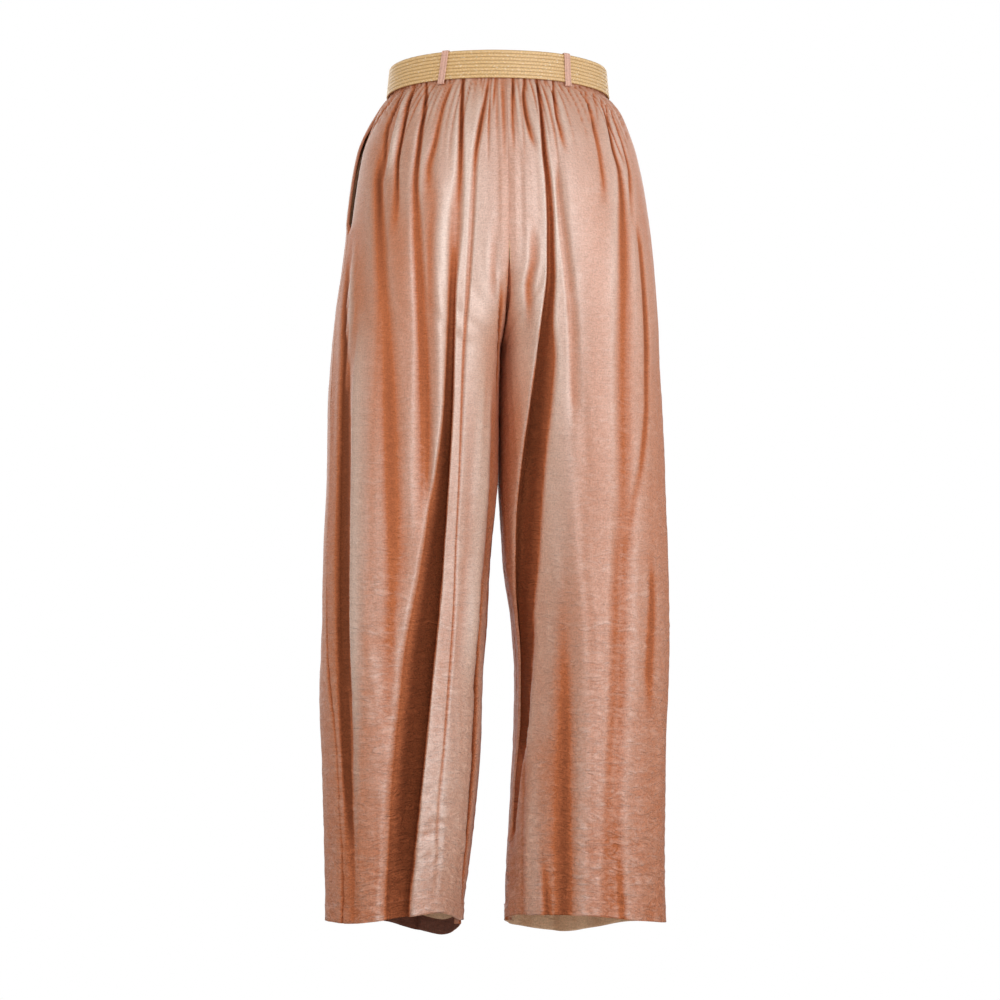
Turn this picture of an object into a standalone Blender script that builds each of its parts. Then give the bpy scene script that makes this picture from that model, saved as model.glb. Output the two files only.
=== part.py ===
"""Wide-leg pull-on trousers with a woven belt, worn, standing open and hollow.

Metres, +Z up. The front faces -Y and the wearer's left is +X. The origin is the
middle of the waistband's ring. Tables and sizes are in millimetres; MM turns
them into metres where a mesh is made.
"""

import math

import bpy

for old in list(bpy.data.objects):
    bpy.data.objects.remove(old, do_unlink=True)

MM = 0.001

# Cloth and seams
WALL = 2.0
SEAM_GAP = 0.3
LAYER_GAP = 0.6

# Waist
WAIST_HALF_WIDTH = 130.5
WAIST_HALF_BACK = 98.0
WAIST_HALF_FRONT = 99.0
WAIST_FLARE = 0.1
WAIST_TILT = math.tan(math.radians(4.0))
TILT_ENDS = 210.0
BAND_HALF_HEIGHT = 14.6
BAND_WALL = 2.0
BELT_HALF_HEIGHT = 17.0
BELT_WALL = 2.4

# Length of the panels, measured down from the waist ring's middle
PANEL_TOP = BAND_HALF_HEIGHT + SEAM_GAP
CROTCH = 325.0
HEM = 1000.0

# Horizontal sections. "side" is the outermost point of a leg, "inner" the point next
# to the other leg; "crest" is where the section reaches furthest back and forward, as
# a share of the way from inner to side; "back" and "front" are how far that is.
SECTION_COLUMNS = (
    "height", "side_left", "side_right", "inner_left", "inner_right", "crest", "back", "front",
)
SECTIONS = [
    (PANEL_TOP, 131.4, 131.4, 0.2, 0.2, 0.02, 98.9, 99.9),
    (18.0, 131.7, 131.7, 0.2, 0.2, 0.02, 99.2, 100.2),
    (26.0, 139.0, 141.0, 0.2, 0.2, 0.05, 103.5, 104.5),
    (38.0, 147.0, 149.5, 0.2, 0.2, 0.10, 110.0, 108.0),
    (56.0, 156.5, 157.0, 0.2, 0.2, 0.17, 118.0, 113.0),
    (90.0, 169.5, 168.0, 0.2, 0.2, 0.26, 129.0, 119.5),
    (150.0, 179.5, 179.0, 0.2, 0.2, 0.36, 139.0, 126.0),
    (215.0, 187.0, 186.0, 0.5, 0.5, 0.43, 142.0, 128.0),
    (285.0, 196.0, 190.5, 0.8, 0.8, 0.48, 139.0, 126.5),
    (CROTCH, 200.0, 192.5, 0.9, 0.9, 0.50, 136.0, 125.0),
    (400.0, 204.5, 197.5, 1.5, 1.5, 0.50, 129.0, 121.0),
    (484.0, 206.0, 200.5, 2.2, 1.8, 0.50, 121.5, 116.0),
    (572.0, 209.5, 204.0, 9.6, 5.3, 0.50, 115.5, 111.5),
    (650.0, 212.0, 205.8, 14.0, 17.5, 0.50, 112.0, 108.5),
    (718.0, 213.0, 204.0, 18.5, 22.0, 0.50, 110.0, 107.5),
    (790.0, 211.5, 200.8, 20.5, 20.0, 0.50, 109.0, 107.0),
    (873.0, 209.0, 200.0, 28.0, 14.0, 0.50, 108.0, 107.0),
    (940.0, 207.0, 199.8, 36.0, 9.0, 0.50, 108.0, 107.5),
    (HEM, 206.0, 199.2, 43.0, 8.0, 0.50, 108.0, 108.0),
]
# How square the rounded sections are, 2 being an oval: their side quarters, and their
# inner quarters, which lie flat against each other at the crotch and round off below
SQUARENESS_COLUMNS = ("height", "side", "inner")
SQUARENESS = [
    (60.0, 2.00, 4.0),
    (260.0, 2.20, 4.0),
    (CROTCH, 2.25, 3.6),
    (420.0, 2.25, 2.7),
    (560.0, 2.25, 2.25),
]

QUARTER_STEPS = 48

# How far behind the section's side point the side seam lies
SIDE_SEAM_COLUMNS = ("height", "left", "right")
SIDE_SEAMS = [
    (PANEL_TOP, 20.0, 8.0),
    (200.0, 26.0, 8.0),
    (560.0, 34.0, 9.0),
    (680.0, 46.0, 10.0),
    (800.0, 66.0, 11.0),
    (HEM, 72.0, 12.0),
]

# The centre seam leaves the seat at this height and turns under to the crotch
RISE_TURNS_AT = {"back": 195.0, "front": 175.0}

# How far each hem hangs below HEM, along the panel from the side seam to the inseam
HEM_COLUMNS = ("share", "left_back", "right_back", "left_front", "right_front")
HEM_DROPS = [
    (0.00, 0.0, 6.0, 0.0, 6.0),
    (0.30, -7.0, -2.0, 5.0, 6.0),
    (0.55, -13.0, -10.0, 12.0, 13.0),
    (0.78, -1.0, -8.0, 28.0, 28.0),
    (1.00, 2.0, 0.0, 8.0, 6.0),
]
HEM_DROP_STARTS = 520.0

# Large folds, one row each: distance from the centre line at nine heights, half width,
# depth, and the heights between which it is open. A fold runs the whole panel as a
# line of points, and is flat where it is not open.
FOLD_HEIGHTS = (50.0, 150.0, 250.0, 350.0, 450.0, 560.0, 700.0, 850.0, 1000.0)
FOLD_COLUMNS = ("panel", "across", "half_width", "depth", "opens", "closes")
FOLDS = [
    ("back_left", (122, 140, 148, 152, 154, 156, 160, 166, 172), 8.0, 7.0, 20, 420),
    ("back_left", (97, 108, 103, 96, 94, 96, 118, 136, 152), 8.0, 8.0, 20, 620),
    ("back_left", (52, 57, 62, 66, 71, 80, 96, 116, 136), 9.0, 12.0, 30, 1000),
    ("back_right", (126, 142, 144, 144, 144, 138, 134, 127, 121), 12.0, 7.0, 40, 900),
    ("back_right", (60, 62, 71, 78, 82, 88, 96, 98, 96), 8.0, 5.0, 20, 600),
    ("back_right", (40, 48, 47, 38, 26, 24, 50, 60, 62), 8.0, 13.0, 15, 620),
    ("front_left", (112, 128, 136, 142, 146, 150, 156, 162, 168), 9.0, 6.0, 230, 960),
    ("front_left", (74, 84, 92, 98, 102, 108, 116, 124, 132), 9.0, 9.0, 60, 1000),
    ("front_left", (38, 44, 50, 56, 60, 66, 74, 84, 92), 8.0, 8.0, 20, 1000),
    ("front_right", (114, 130, 138, 142, 144, 146, 148, 148, 148), 9.0, 6.0, 230, 960),
    ("front_right", (72, 82, 90, 94, 98, 100, 102, 102, 100), 9.0, 9.0, 60, 1000),
    ("front_right", (36, 42, 46, 50, 54, 58, 62, 62, 58), 8.0, 8.0, 20, 1000),
]
FOLD_FADES_OVER = 70.0
DEPTH_AT_WAIST = 0.35
WAIST_ENDS = 70.0
RIDGE_SHARE = 0.28
RIDGE_STARTS = (24.0, 60.0)
WIDEST_FOLD = 0.16
COLUMNS_AT_SIDE = 4
COLUMNS_BETWEEN_FOLDS = 2
COLUMNS_AT_INSEAM = 4
LEAST_COLUMN = 2.2
ROW_HEIGHTS = [
    PANEL_TOP, 18.0, 26.0, 38.0, 58.0, 90.0, 135.0, 185.0, 228.0, 260.0, 285.0, 304.0,
    316.0, CROTCH, 355.0, 410.0, 480.0, 560.0, 650.0, 740.0, 830.0, 920.0, HEM,
]

# Side pockets: the mouth is a slit in the side seam, and the facing lies behind it
POCKET_TOP = 30.0
POCKET_BOTTOM = 182.0
POCKET_MOUTH = 2.6
POCKET_LIP = 1.8
POCKET_ENDS = 8.0
POCKET_LIP_FADES = (4.0, 30.0)
FACING_WALL = 1.2
FACING_TOP = 26.0
FACING_BOTTOM = 228.0
FACING_GAP = 1.0
FACING_COLUMNS_BEHIND = 2
FACING_COLUMNS_FORWARD = 4

# Belt loops: distance from the centre line, and the strip each is made of
LOOP_ACROSS = {"loop_back": 75.0, "loop_front": 70.0}
LOOP_WIDTH = 9.0
LOOP_WALL = 1.1
LOOP_REACH = 3.2
LOOP_FLARE = 1.2

# Belt clasp on the front: two plates over the strap's ends, one with a tongue that
# hooks in behind the other
CLASP_HALF_HEIGHT = 18.5
CLASP_PLATE = 1.4
CLASP_HALF_WIDTH = 22.0
CLASP_SPLIT = 0.3
STRAP_END = 8.0
TONGUE_REACH = 7.0
TONGUE_LOW = 1.0
TONGUE_HIGH = 2.6
CLASP_STEPS = 4
RING_STEPS = 56


def smooth_value(heights, values, height):
    """A smooth curve through the values that never overshoots between two of them."""
    if height <= heights[0]:
        return values[0]
    if height >= heights[-1]:
        return values[-1]
    k = max(i for i in range(len(heights) - 1) if heights[i] <= height)

    def slope(i):
        if i == 0 or i == len(heights) - 1:
            return 0.0
        before = (values[i] - values[i - 1]) / (heights[i] - heights[i - 1])
        after = (values[i + 1] - values[i]) / (heights[i + 1] - heights[i])
        if before * after <= 0:
            return 0.0
        return 2 * before * after / (before + after)

    step = heights[k + 1] - heights[k]
    t = (height - heights[k]) / step
    rest = 1 - t
    return (
        (1 + 2 * t) * rest * rest * values[k]
        + t * rest * rest * step * slope(k)
        + t * t * (3 - 2 * t) * values[k + 1]
        - t * t * rest * step * slope(k + 1)
    )


def from_table(rows, columns, column, key):
    place = columns.index(column)
    return smooth_value([row[0] for row in rows], [row[place] for row in rows], key)


def ease(value, start, end):
    t = min(max((value - start) / (end - start), 0.0), 1.0)
    return t * t * (3 - 2 * t)


def section(column, height):
    return from_table(SECTIONS, SECTION_COLUMNS, column, height)


def centre_seam(face, height):
    """How far behind or in front of the middle the centre seam or inseam lies."""
    reach = section(face, height)
    t = (height - RISE_TURNS_AT[face]) / (CROTCH - RISE_TURNS_AT[face])
    if t <= 0:
        return reach
    return reach * max(1 - t**3, 0.0)


def quarter(squareness, middle, half_width, low, reach):
    """Points of a quarter of a rounded section, from its side to its crest."""
    points = []
    for i in range(QUARTER_STEPS + 1):
        angle = 0.5 * math.pi * i / QUARTER_STEPS
        across = math.cos(angle) ** (2 / squareness) if i < QUARTER_STEPS else 0.0
        up = math.sin(angle) ** (2 / squareness)
        points.append((middle + half_width * across, low + (reach - low) * up))
    return points


def half_section(side, face, height):
    """One leg's or half body's outline, from its side point to its inner seam.

    x is counted outwards from the centre line, and y towards the named face.
    """
    outer_x = section("side_" + side, height)
    inner_x = section("inner_" + side, height)
    reach = section(face, height)
    crest_x = inner_x + (outer_x - inner_x) * section("crest", height)
    seam_y = centre_seam(face, height)
    side_squareness = from_table(SQUARENESS, SQUARENESS_COLUMNS, "side", height)
    inner_squareness = from_table(SQUARENESS, SQUARENESS_COLUMNS, "inner", height)
    outer = quarter(side_squareness, crest_x, outer_x - crest_x, 0.0, reach)
    inner = quarter(inner_squareness, crest_x, inner_x - crest_x, seam_y, reach)
    return outer + inner[-2::-1]


def path_lengths(points):
    lengths = [0.0]
    for before, after in zip(points, points[1:]):
        lengths.append(lengths[-1] + math.dist(before, after))
    return lengths


def along(points, lengths, distance):
    """The point at this distance along a path, and the outward direction there."""
    distance = min(max(distance, 0.0), lengths[-1])
    k = 0
    while k < len(lengths) - 2 and lengths[k + 1] <= distance:
        k += 1
    span = max(lengths[k + 1] - lengths[k], 1e-6)
    t = (distance - lengths[k]) / span
    point = [a + (b - a) * t for a, b in zip(points[k], points[k + 1])]
    low = max(k - 1, 0)
    high = min(k + 2, len(points) - 1)
    run = math.dist(points[low], points[high])
    outward = (
        (points[high][1] - points[low][1]) / run,
        -(points[high][0] - points[low][0]) / run,
    )
    return point, outward


class Panel:
    """One cloth panel: its paths at each height, from the side seam to the inner seam."""

    def __init__(self, name):
        self.name = name
        self.face, self.side = name.split("_")
        self.towards = 1 if self.face == "back" else -1
        self.outwards = 1 if self.side == "left" else -1
        self.folds = [dict(zip(FOLD_COLUMNS, row)) for row in FOLDS if row[0] == name]

    def path(self, height):
        """Points and lengths of the panel's outer face at this height, seam to seam."""
        here = half_section(self.side, self.face, height)
        seam_y = from_table(SIDE_SEAMS, SIDE_SEAM_COLUMNS, self.side, height)
        if self.face == "back":
            lengths = path_lengths(here)
            start = 0.0
            for k in range(len(here) - 1):
                if here[k + 1][1] > seam_y:
                    share = (seam_y - here[k][1]) / (here[k + 1][1] - here[k][1])
                    start = lengths[k] + share * (lengths[k + 1] - lengths[k])
                    break
            first = along(here, lengths, start)[0]
            kept = [first] + [p for p, s in zip(here, lengths) if s > start + 0.2]
            return kept, path_lengths(kept)
        behind = half_section(self.side, "back", height)
        count = next(k for k, p in enumerate(behind) if p[1] > seam_y - 0.2)
        before, after = behind[count - 1], behind[count]
        share = (seam_y - before[1]) / (after[1] - before[1])
        seam = (before[0] + (after[0] - before[0]) * share, seam_y)
        points = [(x, -y) for x, y in [seam] + behind[count - 1:0:-1]] + here
        return points, path_lengths(points)

    def fold_places(self, height, points, lengths):
        """Distance along the path of each fold's lowest line, ordered from the side."""
        places = []
        for fold in self.folds:
            across = smooth_value(FOLD_HEIGHTS, fold["across"], height)
            place = lengths[-1] if across <= points[-1][0] else 0.0
            for k in range(len(points) - 1):
                if points[k][0] >= across > points[k + 1][0] and points[k][1] > 0:
                    share = (points[k][0] - across) / (points[k][0] - points[k + 1][0])
                    place = lengths[k] + share * (lengths[k + 1] - lengths[k])
                    break
            places.append(place)
        return places

    def depth(self, fold, height):
        opening = ease(height, fold["opens"] - FOLD_FADES_OVER, fold["opens"])
        at_waist = DEPTH_AT_WAIST + (1 - DEPTH_AT_WAIST) * ease(height, PANEL_TOP, WAIST_ENDS)
        closing = 1.0
        if fold["closes"] < HEM:
            closing = 1 - ease(height, fold["closes"] - FOLD_FADES_OVER, fold["closes"])
        return fold["depth"] * opening * at_waist * closing

    def columns(self, height):
        """(distance along the path, how far the cloth is pushed out there) for each column."""
        points, lengths = self.path(height)
        total = lengths[-1]
        marks = [(SEAM_GAP / 2, 0.0)]
        for fold, place in zip(self.folds, self.fold_places(height, points, lengths)):
            depth = self.depth(fold, height)
            ridge = RIDGE_SHARE * depth * ease(height, *RIDGE_STARTS)
            half = min(fold["half_width"], WIDEST_FOLD * total)
            marks += [(place - half, ridge), (place, -depth), (place + half, ridge)]
        marks.append((total - SEAM_GAP / 2, 0.0))
        spread = [marks[0][0]]
        for k, (place, _) in enumerate(marks[1:], 1):
            room = total - SEAM_GAP / 2 - LEAST_COLUMN * (len(marks) - 1 - k)
            spread.append(min(max(place, spread[-1] + LEAST_COLUMN), room))
        marks = [(place, push) for place, (_, push) in zip(spread, marks)]
        filled = []
        for k, (place, push) in enumerate(marks):
            filled.append((place, push))
            if k % 3 == 0 and k < len(marks) - 1:
                after, after_push = marks[k + 1]
                count = COLUMNS_BETWEEN_FOLDS
                if k == 0:
                    count = COLUMNS_AT_SIDE
                elif k + 1 == len(marks) - 1:
                    count = COLUMNS_AT_INSEAM
                for i in range(1, count + 1):
                    t = i / (count + 1)
                    filled.append((place + (after - place) * t, push + (after_push - push) * t))
        return points, lengths, filled

    def lip(self, height, distance):
        """The front edge of a pocket mouth stands a little proud and back from the seam."""
        if self.face == "back":
            return 0.0
        mouth = ease(height, POCKET_TOP - POCKET_ENDS, POCKET_TOP + POCKET_ENDS)
        mouth *= 1 - ease(height, POCKET_BOTTOM - POCKET_ENDS, POCKET_BOTTOM + POCKET_ENDS)
        return mouth * (1 - ease(distance, *POCKET_LIP_FADES))

    def place(self, point, height, share):
        """From a section's own x and y to the garment's frame, in millimetres."""
        x = self.outwards * point[0]
        y = self.towards * point[1]
        tilt = WAIST_TILT * y * (1 - ease(height, PANEL_TOP, TILT_ENDS))
        drop = from_table(HEM_DROPS, HEM_COLUMNS, self.side + "_" + self.face, share)
        return (x, y, -height + tilt - drop * ease(height, HEM_DROP_STARTS, HEM))

    def grid(self, heights):
        """Outer and inner points of the panel's wall, a row of them for each height."""
        outer_rows = []
        inner_rows = []
        for height in heights:
            points, lengths, columns = self.columns(height)
            outer_row = []
            inner_row = []
            for distance, push in columns:
                mouth = self.lip(height, distance)
                point, outward = along(points, lengths, distance + POCKET_MOUTH * mouth)
                push += POCKET_LIP * mouth
                share = distance / lengths[-1]
                outer = [p + n * push for p, n in zip(point, outward)]
                inner = [p + n * (push - WALL) for p, n in zip(point, outward)]
                outer_row.append(self.place(outer, height, share))
                inner_row.append(self.place(inner, height, share))
            outer_rows.append(outer_row)
            inner_rows.append(inner_row)
        return outer_rows, inner_rows


def material(name, colour, roughness, metallic=0.0):
    made = bpy.data.materials.new(name)
    made.use_nodes = True
    shader = made.node_tree.nodes["Principled BSDF"]
    shader.inputs["Base Color"].default_value = (*colour, 1.0)
    shader.inputs["Roughness"].default_value = roughness
    shader.inputs["Metallic"].default_value = metallic
    made.diffuse_color = (*colour, 1.0)
    return made


CLOTH = material("rose_crepe", (0.60, 0.33, 0.24), 0.5)
CLOTH_INSIDE = material("pocket_crepe", (0.42, 0.20, 0.14), 0.6)
LOOP_CLOTH = material("loop_crepe", (0.60, 0.38, 0.32), 0.6)
BRAID = material("straw_braid", (0.62, 0.44, 0.20), 0.5)
CLASP_METAL = material("clasp_metal", (0.80, 0.62, 0.34), 0.3, 1.0)


def solid(name, points, faces, finish):
    mesh = bpy.data.meshes.new(name)
    mesh.from_pydata([[value * MM for value in point] for point in points], [], faces)
    mesh.materials.append(finish)
    mesh.update()
    made = bpy.data.objects.new(name, mesh)
    bpy.context.scene.collection.objects.link(made)
    return made


def wall_between(name, outer_rows, inner_rows, finish, turned):
    """A closed wall from two grids of points, rims included. turned reverses its faces."""
    rows = len(outer_rows)
    columns = len(outer_rows[0])
    points = [p for row in outer_rows for p in row] + [p for row in inner_rows for p in row]
    half = rows * columns

    def at(row, column, inside=0):
        return inside * half + row * columns + column

    faces = []
    for r in range(rows - 1):
        for c in range(columns - 1):
            faces.append((at(r, c), at(r + 1, c), at(r + 1, c + 1), at(r, c + 1)))
            faces.append((at(r, c, 1), at(r, c + 1, 1), at(r + 1, c + 1, 1), at(r + 1, c, 1)))
        faces.append((at(r, 0), at(r, 0, 1), at(r + 1, 0, 1), at(r + 1, 0)))
        end = columns - 1
        faces.append((at(r, end), at(r + 1, end), at(r + 1, end, 1), at(r, end, 1)))
    for c in range(columns - 1):
        faces.append((at(0, c), at(0, c + 1), at(0, c + 1, 1), at(0, c, 1)))
        end = rows - 1
        faces.append((at(end, c), at(end, c, 1), at(end, c + 1, 1), at(end, c + 1)))
    if turned:
        faces = [face[::-1] for face in faces]
    return solid(name, points, faces, finish)


def build_panel(name):
    panel = Panel(name)
    outer_rows, inner_rows = panel.grid(ROW_HEIGHTS)
    return wall_between(name, outer_rows, inner_rows, CLOTH, panel.towards * panel.outwards < 0)


def build_pocket(side):
    """The facing behind a pocket mouth, laid against the inside of both panels' columns."""
    front = Panel("front_" + side)
    back = Panel("back_" + side)
    outer_rows = []
    inner_rows = []
    for height in ROW_HEIGHTS:
        if not FACING_TOP <= height <= FACING_BOTTOM:
            continue
        outer_row = []
        inner_row = []
        for panel in (back, front):
            points, lengths, columns = panel.columns(height)
            if panel is back:
                columns = columns[FACING_COLUMNS_BEHIND - 1::-1]
            else:
                columns = columns[1:FACING_COLUMNS_FORWARD + 1]
            for distance, push in columns:
                point, outward = along(points, lengths, distance)
                share = distance / lengths[-1]
                for row, depth in ((outer_row, 0.0), (inner_row, FACING_WALL)):
                    inward = WALL + FACING_GAP + depth - push
                    inside = [p - n * inward for p, n in zip(point, outward)]
                    row.append(panel.place(inside, height, share))
        outer_rows.append(outer_row)
        inner_rows.append(inner_row)
    return wall_between("pocket_" + side, outer_rows, inner_rows, CLOTH_INSIDE, front.outwards > 0)


def ring_point(angle, outset):
    """A point of the waist's oval, moved out by outset. Angle 0 is the left side, 90 the back."""
    depth = WAIST_HALF_BACK if math.sin(angle) > 0 else WAIST_HALF_FRONT
    x = WAIST_HALF_WIDTH * math.cos(angle)
    y = depth * math.sin(angle)
    normal = (depth * math.cos(angle), WAIST_HALF_WIDTH * math.sin(angle))
    length = math.hypot(*normal)
    return (x + outset * normal[0] / length, y + outset * normal[1] / length)


def band(name, start, end, low, high, inset, outset, finish):
    """A strip round the waist between two angles in degrees, from inset to outset of the oval."""
    steps = max(2, round(RING_STEPS * (end - start) / 360))
    outer_rows = []
    inner_rows = []
    for height in (high, low):
        for rows, offset in ((outer_rows, outset), (inner_rows, inset)):
            row = []
            for i in range(steps + 1):
                angle = math.radians(start + (end - start) * i / steps)
                x, y = ring_point(angle, offset - WAIST_FLARE * height)
                row.append((x, y, height + WAIST_TILT * y))
            rows.append(row)
    return wall_between(name, outer_rows, inner_rows, finish, False)


def angle_of(across, outset=0.0):
    """The angle in degrees, between 0 and 90, at which the ring is this far from the centre."""
    return math.degrees(math.acos(min(across / (WAIST_HALF_WIDTH + outset), 1.0)))


def build_loop(name, across, back):
    """A strip over the belt, turned in at its top onto the waistband's upper edge."""
    inner_face = LAYER_GAP + BELT_WALL + SEAM_GAP
    outer_face = inner_face + LOOP_WALL
    edge = BELT_HALF_HEIGHT + SEAM_GAP
    top = edge + LOOP_WALL
    foot = -edge - LOOP_REACH
    outline = [
        (-BAND_WALL, BAND_HALF_HEIGHT + SEAM_GAP), (0.0, BAND_HALF_HEIGHT + SEAM_GAP),
        (0.0, edge), (inner_face, edge), (inner_face, -edge), (inner_face + LOOP_FLARE, foot),
        (outer_face + LOOP_FLARE, foot), (outer_face, -edge), (outer_face, edge),
        (outer_face - LOOP_WALL / 2, top), (-BAND_WALL, top),
    ]
    turn = angle_of(abs(across), outer_face)
    angle = turn if across > 0 else 180 - turn
    if not back:
        angle = -angle
    x, y = ring_point(math.radians(angle), 0.0)
    x_out, y_out = ring_point(math.radians(angle), 1.0)
    normal = (x_out - x, y_out - y)
    points = []
    for shift in (-LOOP_WIDTH / 2, LOOP_WIDTH / 2):
        for out, up in outline:
            flared = out - WAIST_FLARE * up
            px = x + normal[0] * flared - normal[1] * shift
            py = y + normal[1] * flared + normal[0] * shift
            points.append((px, py, up + WAIST_TILT * py))
    count = len(outline)
    faces = [tuple(range(count)), tuple(range(2 * count - 1, count - 1, -1))]
    for i in range(count):
        j = (i + 1) % count
        faces.append((j, i, i + count, j + count))
    return solid(name, points, faces, LOOP_CLOTH)


def build_clasp(name, runs):
    """One clasp half: plates that follow the ring, each from one distance to another.

    runs are (from, to, low, high) rows that meet end to end, left of the centre positive.
    """
    rows = []
    for start, end, low, high in runs:
        for i in range(CLASP_STEPS + 1):
            rows.append((start + (end - start) * i / CLASP_STEPS, low, high))
    points = []
    for across, low, high in rows:
        for out in (low, high):
            angle = math.asin(across / (WAIST_HALF_WIDTH + out)) - math.pi / 2
            for height in (-CLASP_HALF_HEIGHT, CLASP_HALF_HEIGHT):
                x, y = ring_point(angle, out - WAIST_FLARE * height)
                points.append((x, y, height + WAIST_TILT * y))
    faces = [(0, 2, 3, 1)]
    for i in range(len(rows) - 1):
        a = 4 * i
        b = a + 4
        for p, q in ((0, 1), (1, 3), (3, 2), (2, 0)):
            faces.append((a + q, b + q, b + p, a + p))
    last = 4 * (len(rows) - 1)
    faces.append((last, last + 1, last + 3, last + 2))
    return solid(name, points, faces, CLASP_METAL)


for panel_name in ("back_left", "back_right", "front_left", "front_right"):
    build_panel(panel_name)
for side_name in ("left", "right"):
    build_pocket(side_name)

left_seam = math.degrees(math.asin(SIDE_SEAMS[0][1] / WAIST_HALF_BACK))
right_seam = 180 - math.degrees(math.asin(SIDE_SEAMS[0][2] / WAIST_HALF_BACK))
seam_turn = math.degrees(SEAM_GAP / 2 / WAIST_HALF_BACK)
band(
    "waistband_back", left_seam + seam_turn, right_seam - seam_turn,
    -BAND_HALF_HEIGHT, BAND_HALF_HEIGHT, -BAND_WALL, 0.0, CLOTH,
)
band(
    "waistband_front", right_seam + seam_turn, 360 + left_seam - seam_turn,
    -BAND_HALF_HEIGHT, BAND_HALF_HEIGHT, -BAND_WALL, 0.0, CLOTH,
)

strap_turn = 90 - angle_of(STRAP_END)
band(
    "belt", -90 + strap_turn, 270 - strap_turn,
    -BELT_HALF_HEIGHT, BELT_HALF_HEIGHT, LAYER_GAP, LAYER_GAP + BELT_WALL, BRAID,
)
plate_low = LAYER_GAP + BELT_WALL + SEAM_GAP
plate_high = plate_low + CLASP_PLATE
build_clasp("clasp_eye", [(CLASP_SPLIT, CLASP_HALF_WIDTH, plate_low, plate_high)])
build_clasp(
    "clasp_hook",
    [
        (-CLASP_HALF_WIDTH, -STRAP_END + SEAM_GAP, plate_low, plate_high),
        (-STRAP_END + SEAM_GAP + 0.1, -CLASP_SPLIT, TONGUE_LOW, plate_high),
        (-CLASP_SPLIT + 0.1, TONGUE_REACH, TONGUE_LOW, TONGUE_HIGH),
    ],
)

for loop_name, loop_across in LOOP_ACROSS.items():
    for side_name, sign in (("left", 1), ("right", -1)):
        build_loop(f"{loop_name}_{side_name}", sign * loop_across, loop_name == "loop_back")
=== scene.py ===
import math

import bmesh
import bpy
import numpy as np
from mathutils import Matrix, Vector


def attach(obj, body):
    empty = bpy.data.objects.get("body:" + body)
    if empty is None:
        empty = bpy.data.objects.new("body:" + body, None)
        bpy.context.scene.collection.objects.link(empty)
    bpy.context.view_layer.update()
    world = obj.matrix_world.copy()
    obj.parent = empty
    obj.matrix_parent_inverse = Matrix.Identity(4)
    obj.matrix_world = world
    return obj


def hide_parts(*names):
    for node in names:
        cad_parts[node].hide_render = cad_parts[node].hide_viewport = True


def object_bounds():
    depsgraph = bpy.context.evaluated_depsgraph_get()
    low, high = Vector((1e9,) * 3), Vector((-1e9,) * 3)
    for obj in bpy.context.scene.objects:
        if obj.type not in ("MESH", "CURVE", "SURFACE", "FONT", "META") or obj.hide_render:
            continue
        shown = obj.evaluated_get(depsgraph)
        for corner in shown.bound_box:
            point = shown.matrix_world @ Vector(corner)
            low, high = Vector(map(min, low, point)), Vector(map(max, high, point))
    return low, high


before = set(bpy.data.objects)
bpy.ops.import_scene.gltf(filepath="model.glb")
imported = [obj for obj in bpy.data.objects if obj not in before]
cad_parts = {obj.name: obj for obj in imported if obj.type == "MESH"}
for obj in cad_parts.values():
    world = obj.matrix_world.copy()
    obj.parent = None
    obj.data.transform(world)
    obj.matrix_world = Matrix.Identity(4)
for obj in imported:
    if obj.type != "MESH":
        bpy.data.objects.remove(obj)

cad_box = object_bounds()
bpy.ops.object.select_all(action="DESELECT")
MM = 0.001

# ---------------------------------------------------------------- back panels
# The two back panels are cut from a satin-faced crepe, gathered along the top into
# the waistband, and hang to a turned-up hem. Each is one thin shell whose level
# sections run from the side seam round to the centre seam, and below it the inseam.

WAIST_TILT = math.tan(math.radians(4.0))
TILT_ENDS = 210.0
PANEL_TOP = 14.9
CROTCH = 325.0
HEM = 1000.0
# height below the waist, then outermost and innermost points of each leg, where the
# section reaches furthest as a share of the way out, and how far back and forward
SECTION_COLUMNS = (
    "height", "side_left", "side_right", "inner_left", "inner_right", "crest", "back", "front",
)
SECTIONS = np.array([
    (PANEL_TOP, 131.4, 131.4, 0.2, 0.2, 0.02, 98.9, 99.9),
    (18.0, 131.7, 131.7, 0.2, 0.2, 0.02, 99.2, 100.2),
    (26.0, 139.0, 141.0, 0.2, 0.2, 0.05, 103.5, 104.5),
    (38.0, 147.0, 149.5, 0.2, 0.2, 0.10, 110.0, 108.0),
    (56.0, 156.5, 157.0, 0.2, 0.2, 0.17, 118.0, 113.0),
    (90.0, 169.5, 168.0, 0.2, 0.2, 0.26, 129.0, 119.5),
    (150.0, 179.5, 179.0, 0.2, 0.2, 0.36, 139.0, 126.0),
    (215.0, 187.0, 186.0, 0.5, 0.5, 0.43, 142.0, 128.0),
    (285.0, 196.0, 190.5, 0.8, 0.8, 0.48, 139.0, 126.5),
    (CROTCH, 200.0, 192.5, 0.9, 0.9, 0.50, 136.0, 125.0),
    (400.0, 204.5, 197.5, 1.5, 1.5, 0.50, 129.0, 121.0),
    (484.0, 206.0, 200.5, 2.2, 1.8, 0.50, 121.5, 116.0),
    (572.0, 209.5, 204.0, 9.6, 5.3, 0.50, 115.5, 111.5),
    (650.0, 212.0, 205.8, 14.0, 17.5, 0.50, 112.0, 108.5),
    (718.0, 213.0, 204.0, 18.5, 22.0, 0.50, 110.0, 107.5),
    (790.0, 211.5, 200.8, 20.5, 20.0, 0.50, 109.0, 107.0),
    (873.0, 209.0, 200.0, 28.0, 14.0, 0.50, 108.0, 107.0),
    (940.0, 207.0, 199.8, 36.0, 9.0, 0.50, 108.0, 107.5),
    (HEM, 206.0, 199.2, 43.0, 8.0, 0.50, 108.0, 108.0),
])
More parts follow.
